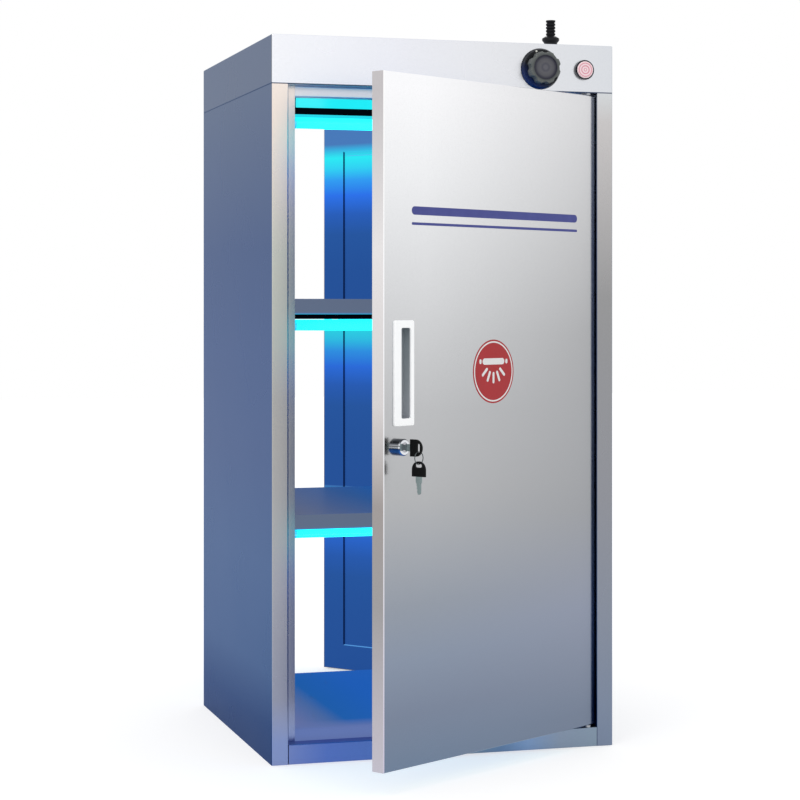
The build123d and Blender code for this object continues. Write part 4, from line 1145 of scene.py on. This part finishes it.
def ring_mesh(name, inner, outer, thickness, matrix):
    """A flat closed ring."""
    build = bmesh.new()
    corners = ((inner, 0), (outer, 0), (outer, thickness), (inner, thickness))
    rows = [
        [build.verts.new((x, y, height)) for x, y in circle(radius, SIGN_STEPS)] for radius, height in corners
    ]
    for first, second in zip(rows, rows[1:] + rows[:1]):
        for step in range(SIGN_STEPS):
            after = (step + 1) % SIGN_STEPS
            build.faces.new((first[step], first[after], second[after], second[step]))
    return finished_mesh(name, build, matrix, False)


ring_outside = SIGN_RADIUS - RING_EDGE
sign_ring = ring_mesh("sign_ring", ring_outside - RING_WIDTH, ring_outside, FILM, figure_place)
add_piece("sign_ring", sign_ring, sign_white, "front_door")

# %% [markdown]
# ## Screws
# The cover of the header is held along its back edge by a row of pan head screws, and each rear hinge plate
# by two flat ones. A screw is modelled once, with a real cross recess, and Geometry Nodes repeat it in a row.
# The row's tree takes the screw as its geometry, the count, the step from one to the next, and the metal.


# %% Build the tree that repeats a screw
def make_row_tree():
    tree = bpy.data.node_groups.new("row of screws", "GeometryNodeTree")
    inputs = {"Geometry": "Geometry", "Count": "Int", "Step": "Vector", "Metal": "Material"}
    for label, kind in inputs.items():
        tree.interface.new_socket(label, in_out="INPUT", socket_type="NodeSocket" + kind)
    tree.interface.new_socket("Geometry", in_out="OUTPUT", socket_type="NodeSocketGeometry")
    start = add_node(tree, "NodeGroupInput")
    end = add_node(tree, "NodeGroupOutput")
    row = add_node(tree, "GeometryNodeMeshLine", mode="OFFSET")
    copies = add_node(tree, "GeometryNodeInstanceOnPoints")
    real = add_node(tree, "GeometryNodeRealizeInstances")
    metal = add_node(tree, "GeometryNodeSetMaterial")
    link = tree.links.new
    link(start.outputs["Count"], row.inputs["Count"])
    link(start.outputs["Step"], row.inputs["Offset"])
    link(row.outputs["Mesh"], copies.inputs["Points"])
    link(start.outputs["Geometry"], copies.inputs["Instance"])
    link(copies.outputs["Instances"], real.inputs["Geometry"])
    link(real.outputs["Geometry"], metal.inputs["Geometry"])
    link(start.outputs["Metal"], metal.inputs["Material"])
    link(metal.outputs["Geometry"], end.inputs["Geometry"])
    return tree


row_tree = make_row_tree()


# %% Make one screw and its rows
CROSS = (0.55, 0.31, 0.17, 0.31)
screw_steel = moulded_finish("screw steel", (178, 181, 188), (150, 154, 162), roughness=0.25, Metallic=1.0)


def screw_row(name, body, first, across, out, radius, proud, count, step):
    """A row of screws as one plain mesh that rides on a body."""
    up = out.cross(across)
    profile = [(0.0, proud - 0.0009), (radius * 0.85, proud - 0.0008, "star"), (radius, proud, "star")]
    profile += [(radius * 0.74, proud * 0.92), (radius, proud * 0.25), (radius, -0.0006), (0.0, -0.0006)]
    head = turned(name + "_head", profile, placed(first, across, up, out), steps=16, waves=CROSS)
    maker = bpy.data.objects.new(name + "_maker", head)
    scene.collection.objects.link(maker)
    modifier = maker.modifiers.new("row", "NODES")
    modifier.node_group = row_tree
    values = {"Count": count, "Step": tuple(step), "Metal": screw_steel}
    for item in row_tree.interface.items_tree:
        if item.in_out == "INPUT" and item.name in values:
            modifier[item.identifier] = values[item.name]
    evaluated = maker.evaluated_get(bpy.context.evaluated_depsgraph_get())
    mesh = bpy.data.meshes.new_from_object(evaluated)
    bpy.data.objects.remove(maker)
    add_piece(name, mesh, screw_steel, body)
    print(name, "has", count, "screws and", len(mesh.polygons), "faces")


# %% Place the screws
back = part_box("header_cover")[1].y
HINGE_PLATE = 0.0014
HINGE_FEET = (("low", 0.150), ("middle", 0.439), ("high", 0.728))
HINGE_SCREW_X = 0.2325
HINGE_SCREW_LIFT = 0.012
PAN_HEAD = (0.0034, 0.0013)
FLAT_HEAD = (0.0026, 0.0003)
HEADER_STEP = (0.08, 0, 0)
HINGE_STEP = (0, 0, 0.036)
first_screw = Vector((-0.2, back, 0.9435))
screw_row("header_screws", "cabinet", first_screw, EAST, REAR, *PAN_HEAD, 6, HEADER_STEP)
for place, foot in HINGE_FEET:
    first_screw = Vector((HINGE_SCREW_X, back + HINGE_PLATE, foot + HINGE_SCREW_LIFT))
    screw_row(f"hinge_screws_{place}", "cabinet", first_screw, EAST, REAR, *FLAT_HEAD, 2, HINGE_STEP)

# %% [markdown]
# ## The stage
# The floor is a plain pale sheet under the cabinet, and the world is white all round. Rays that come from
# the camera, or from metal and glass, see both at full white, and the floor keeps its soft shadow. One
# large lamp up on the left gives the round parts a highlight.


# %% Build the floor, the world and the lamp
def seen_directly(tree):
    """1 for rays from the camera, a mirror or glass, and 0 for the rest."""
    path = add_node(tree, "ShaderNodeLightPath")
    mirror = worked(tree, "MAXIMUM", path.outputs["Is Glossy Ray"], path.outputs["Is Transmission Ray"])
    return worked(tree, "MAXIMUM", path.outputs["Is Camera Ray"], mirror)


FLOOR_GREY = (0.56, 0.56, 0.56, 1)
FLOOR_LIFT = 0.60
FLOOR_REACH = 12.0
FLOOR_LEVEL = -0.0006
SKY_LEVEL = 0.9
STUDIO_LAMP = Vector((-1.8, -1.9, 2.6))
STUDIO_AIM = Vector((0, 0, 0.6))
STUDIO_WATTS = 9.0


def build_floor():
    material, tree, shader = new_finish(
        "studio floor",
        Base_Color=FLOOR_GREY,
        Roughness=0.9,
        Specular_IOR_Level=0.0,
        Emission_Color=(1, 1, 1, 1),
    )
    lift = worked(tree, "MULTIPLY", seen_directly(tree), FLOOR_LIFT)
    tree.links.new(lift, shader.inputs["Emission Strength"])
    mesh = bpy.data.meshes.new("studio_floor")
    ways = ((-1, -1), (1, -1), (1, 1), (-1, 1))
    corners = [(x * FLOOR_REACH, y * FLOOR_REACH, FLOOR_LEVEL) for x, y in ways]
    mesh.from_pydata(corners, [], [(0, 1, 2, 3)])
    mesh.materials.append(material)
    floor = bpy.data.objects.new("studio_floor", mesh)
    scene.collection.objects.link(floor)


def build_world():
    world = bpy.data.worlds.new("studio")
    scene.world = world
    world.use_nodes = True
    tree = world.node_tree
    sky = tree.nodes["Background"]
    sky.inputs["Color"].default_value = (1, 1, 1, 1)
    strength = worked(tree, "MULTIPLY_ADD", seen_directly(tree), 1.0 - SKY_LEVEL, SKY_LEVEL)
    tree.links.new(strength, sky.inputs["Strength"])


def build_lamp():
    data = bpy.data.lights.new("studio_lamp", "AREA")
    data.shape = "RECTANGLE"
    data.size = 1.4
    data.size_y = 1.0
    data.energy = STUDIO_WATTS
    lamp = bpy.data.objects.new("studio_lamp", data)
    scene.collection.objects.link(lamp)
    lamp.location = STUDIO_LAMP
    lamp.rotation_euler = (STUDIO_AIM - STUDIO_LAMP).to_track_quat("-Z", "Y").to_euler()


build_floor()
build_world()
build_lamp()
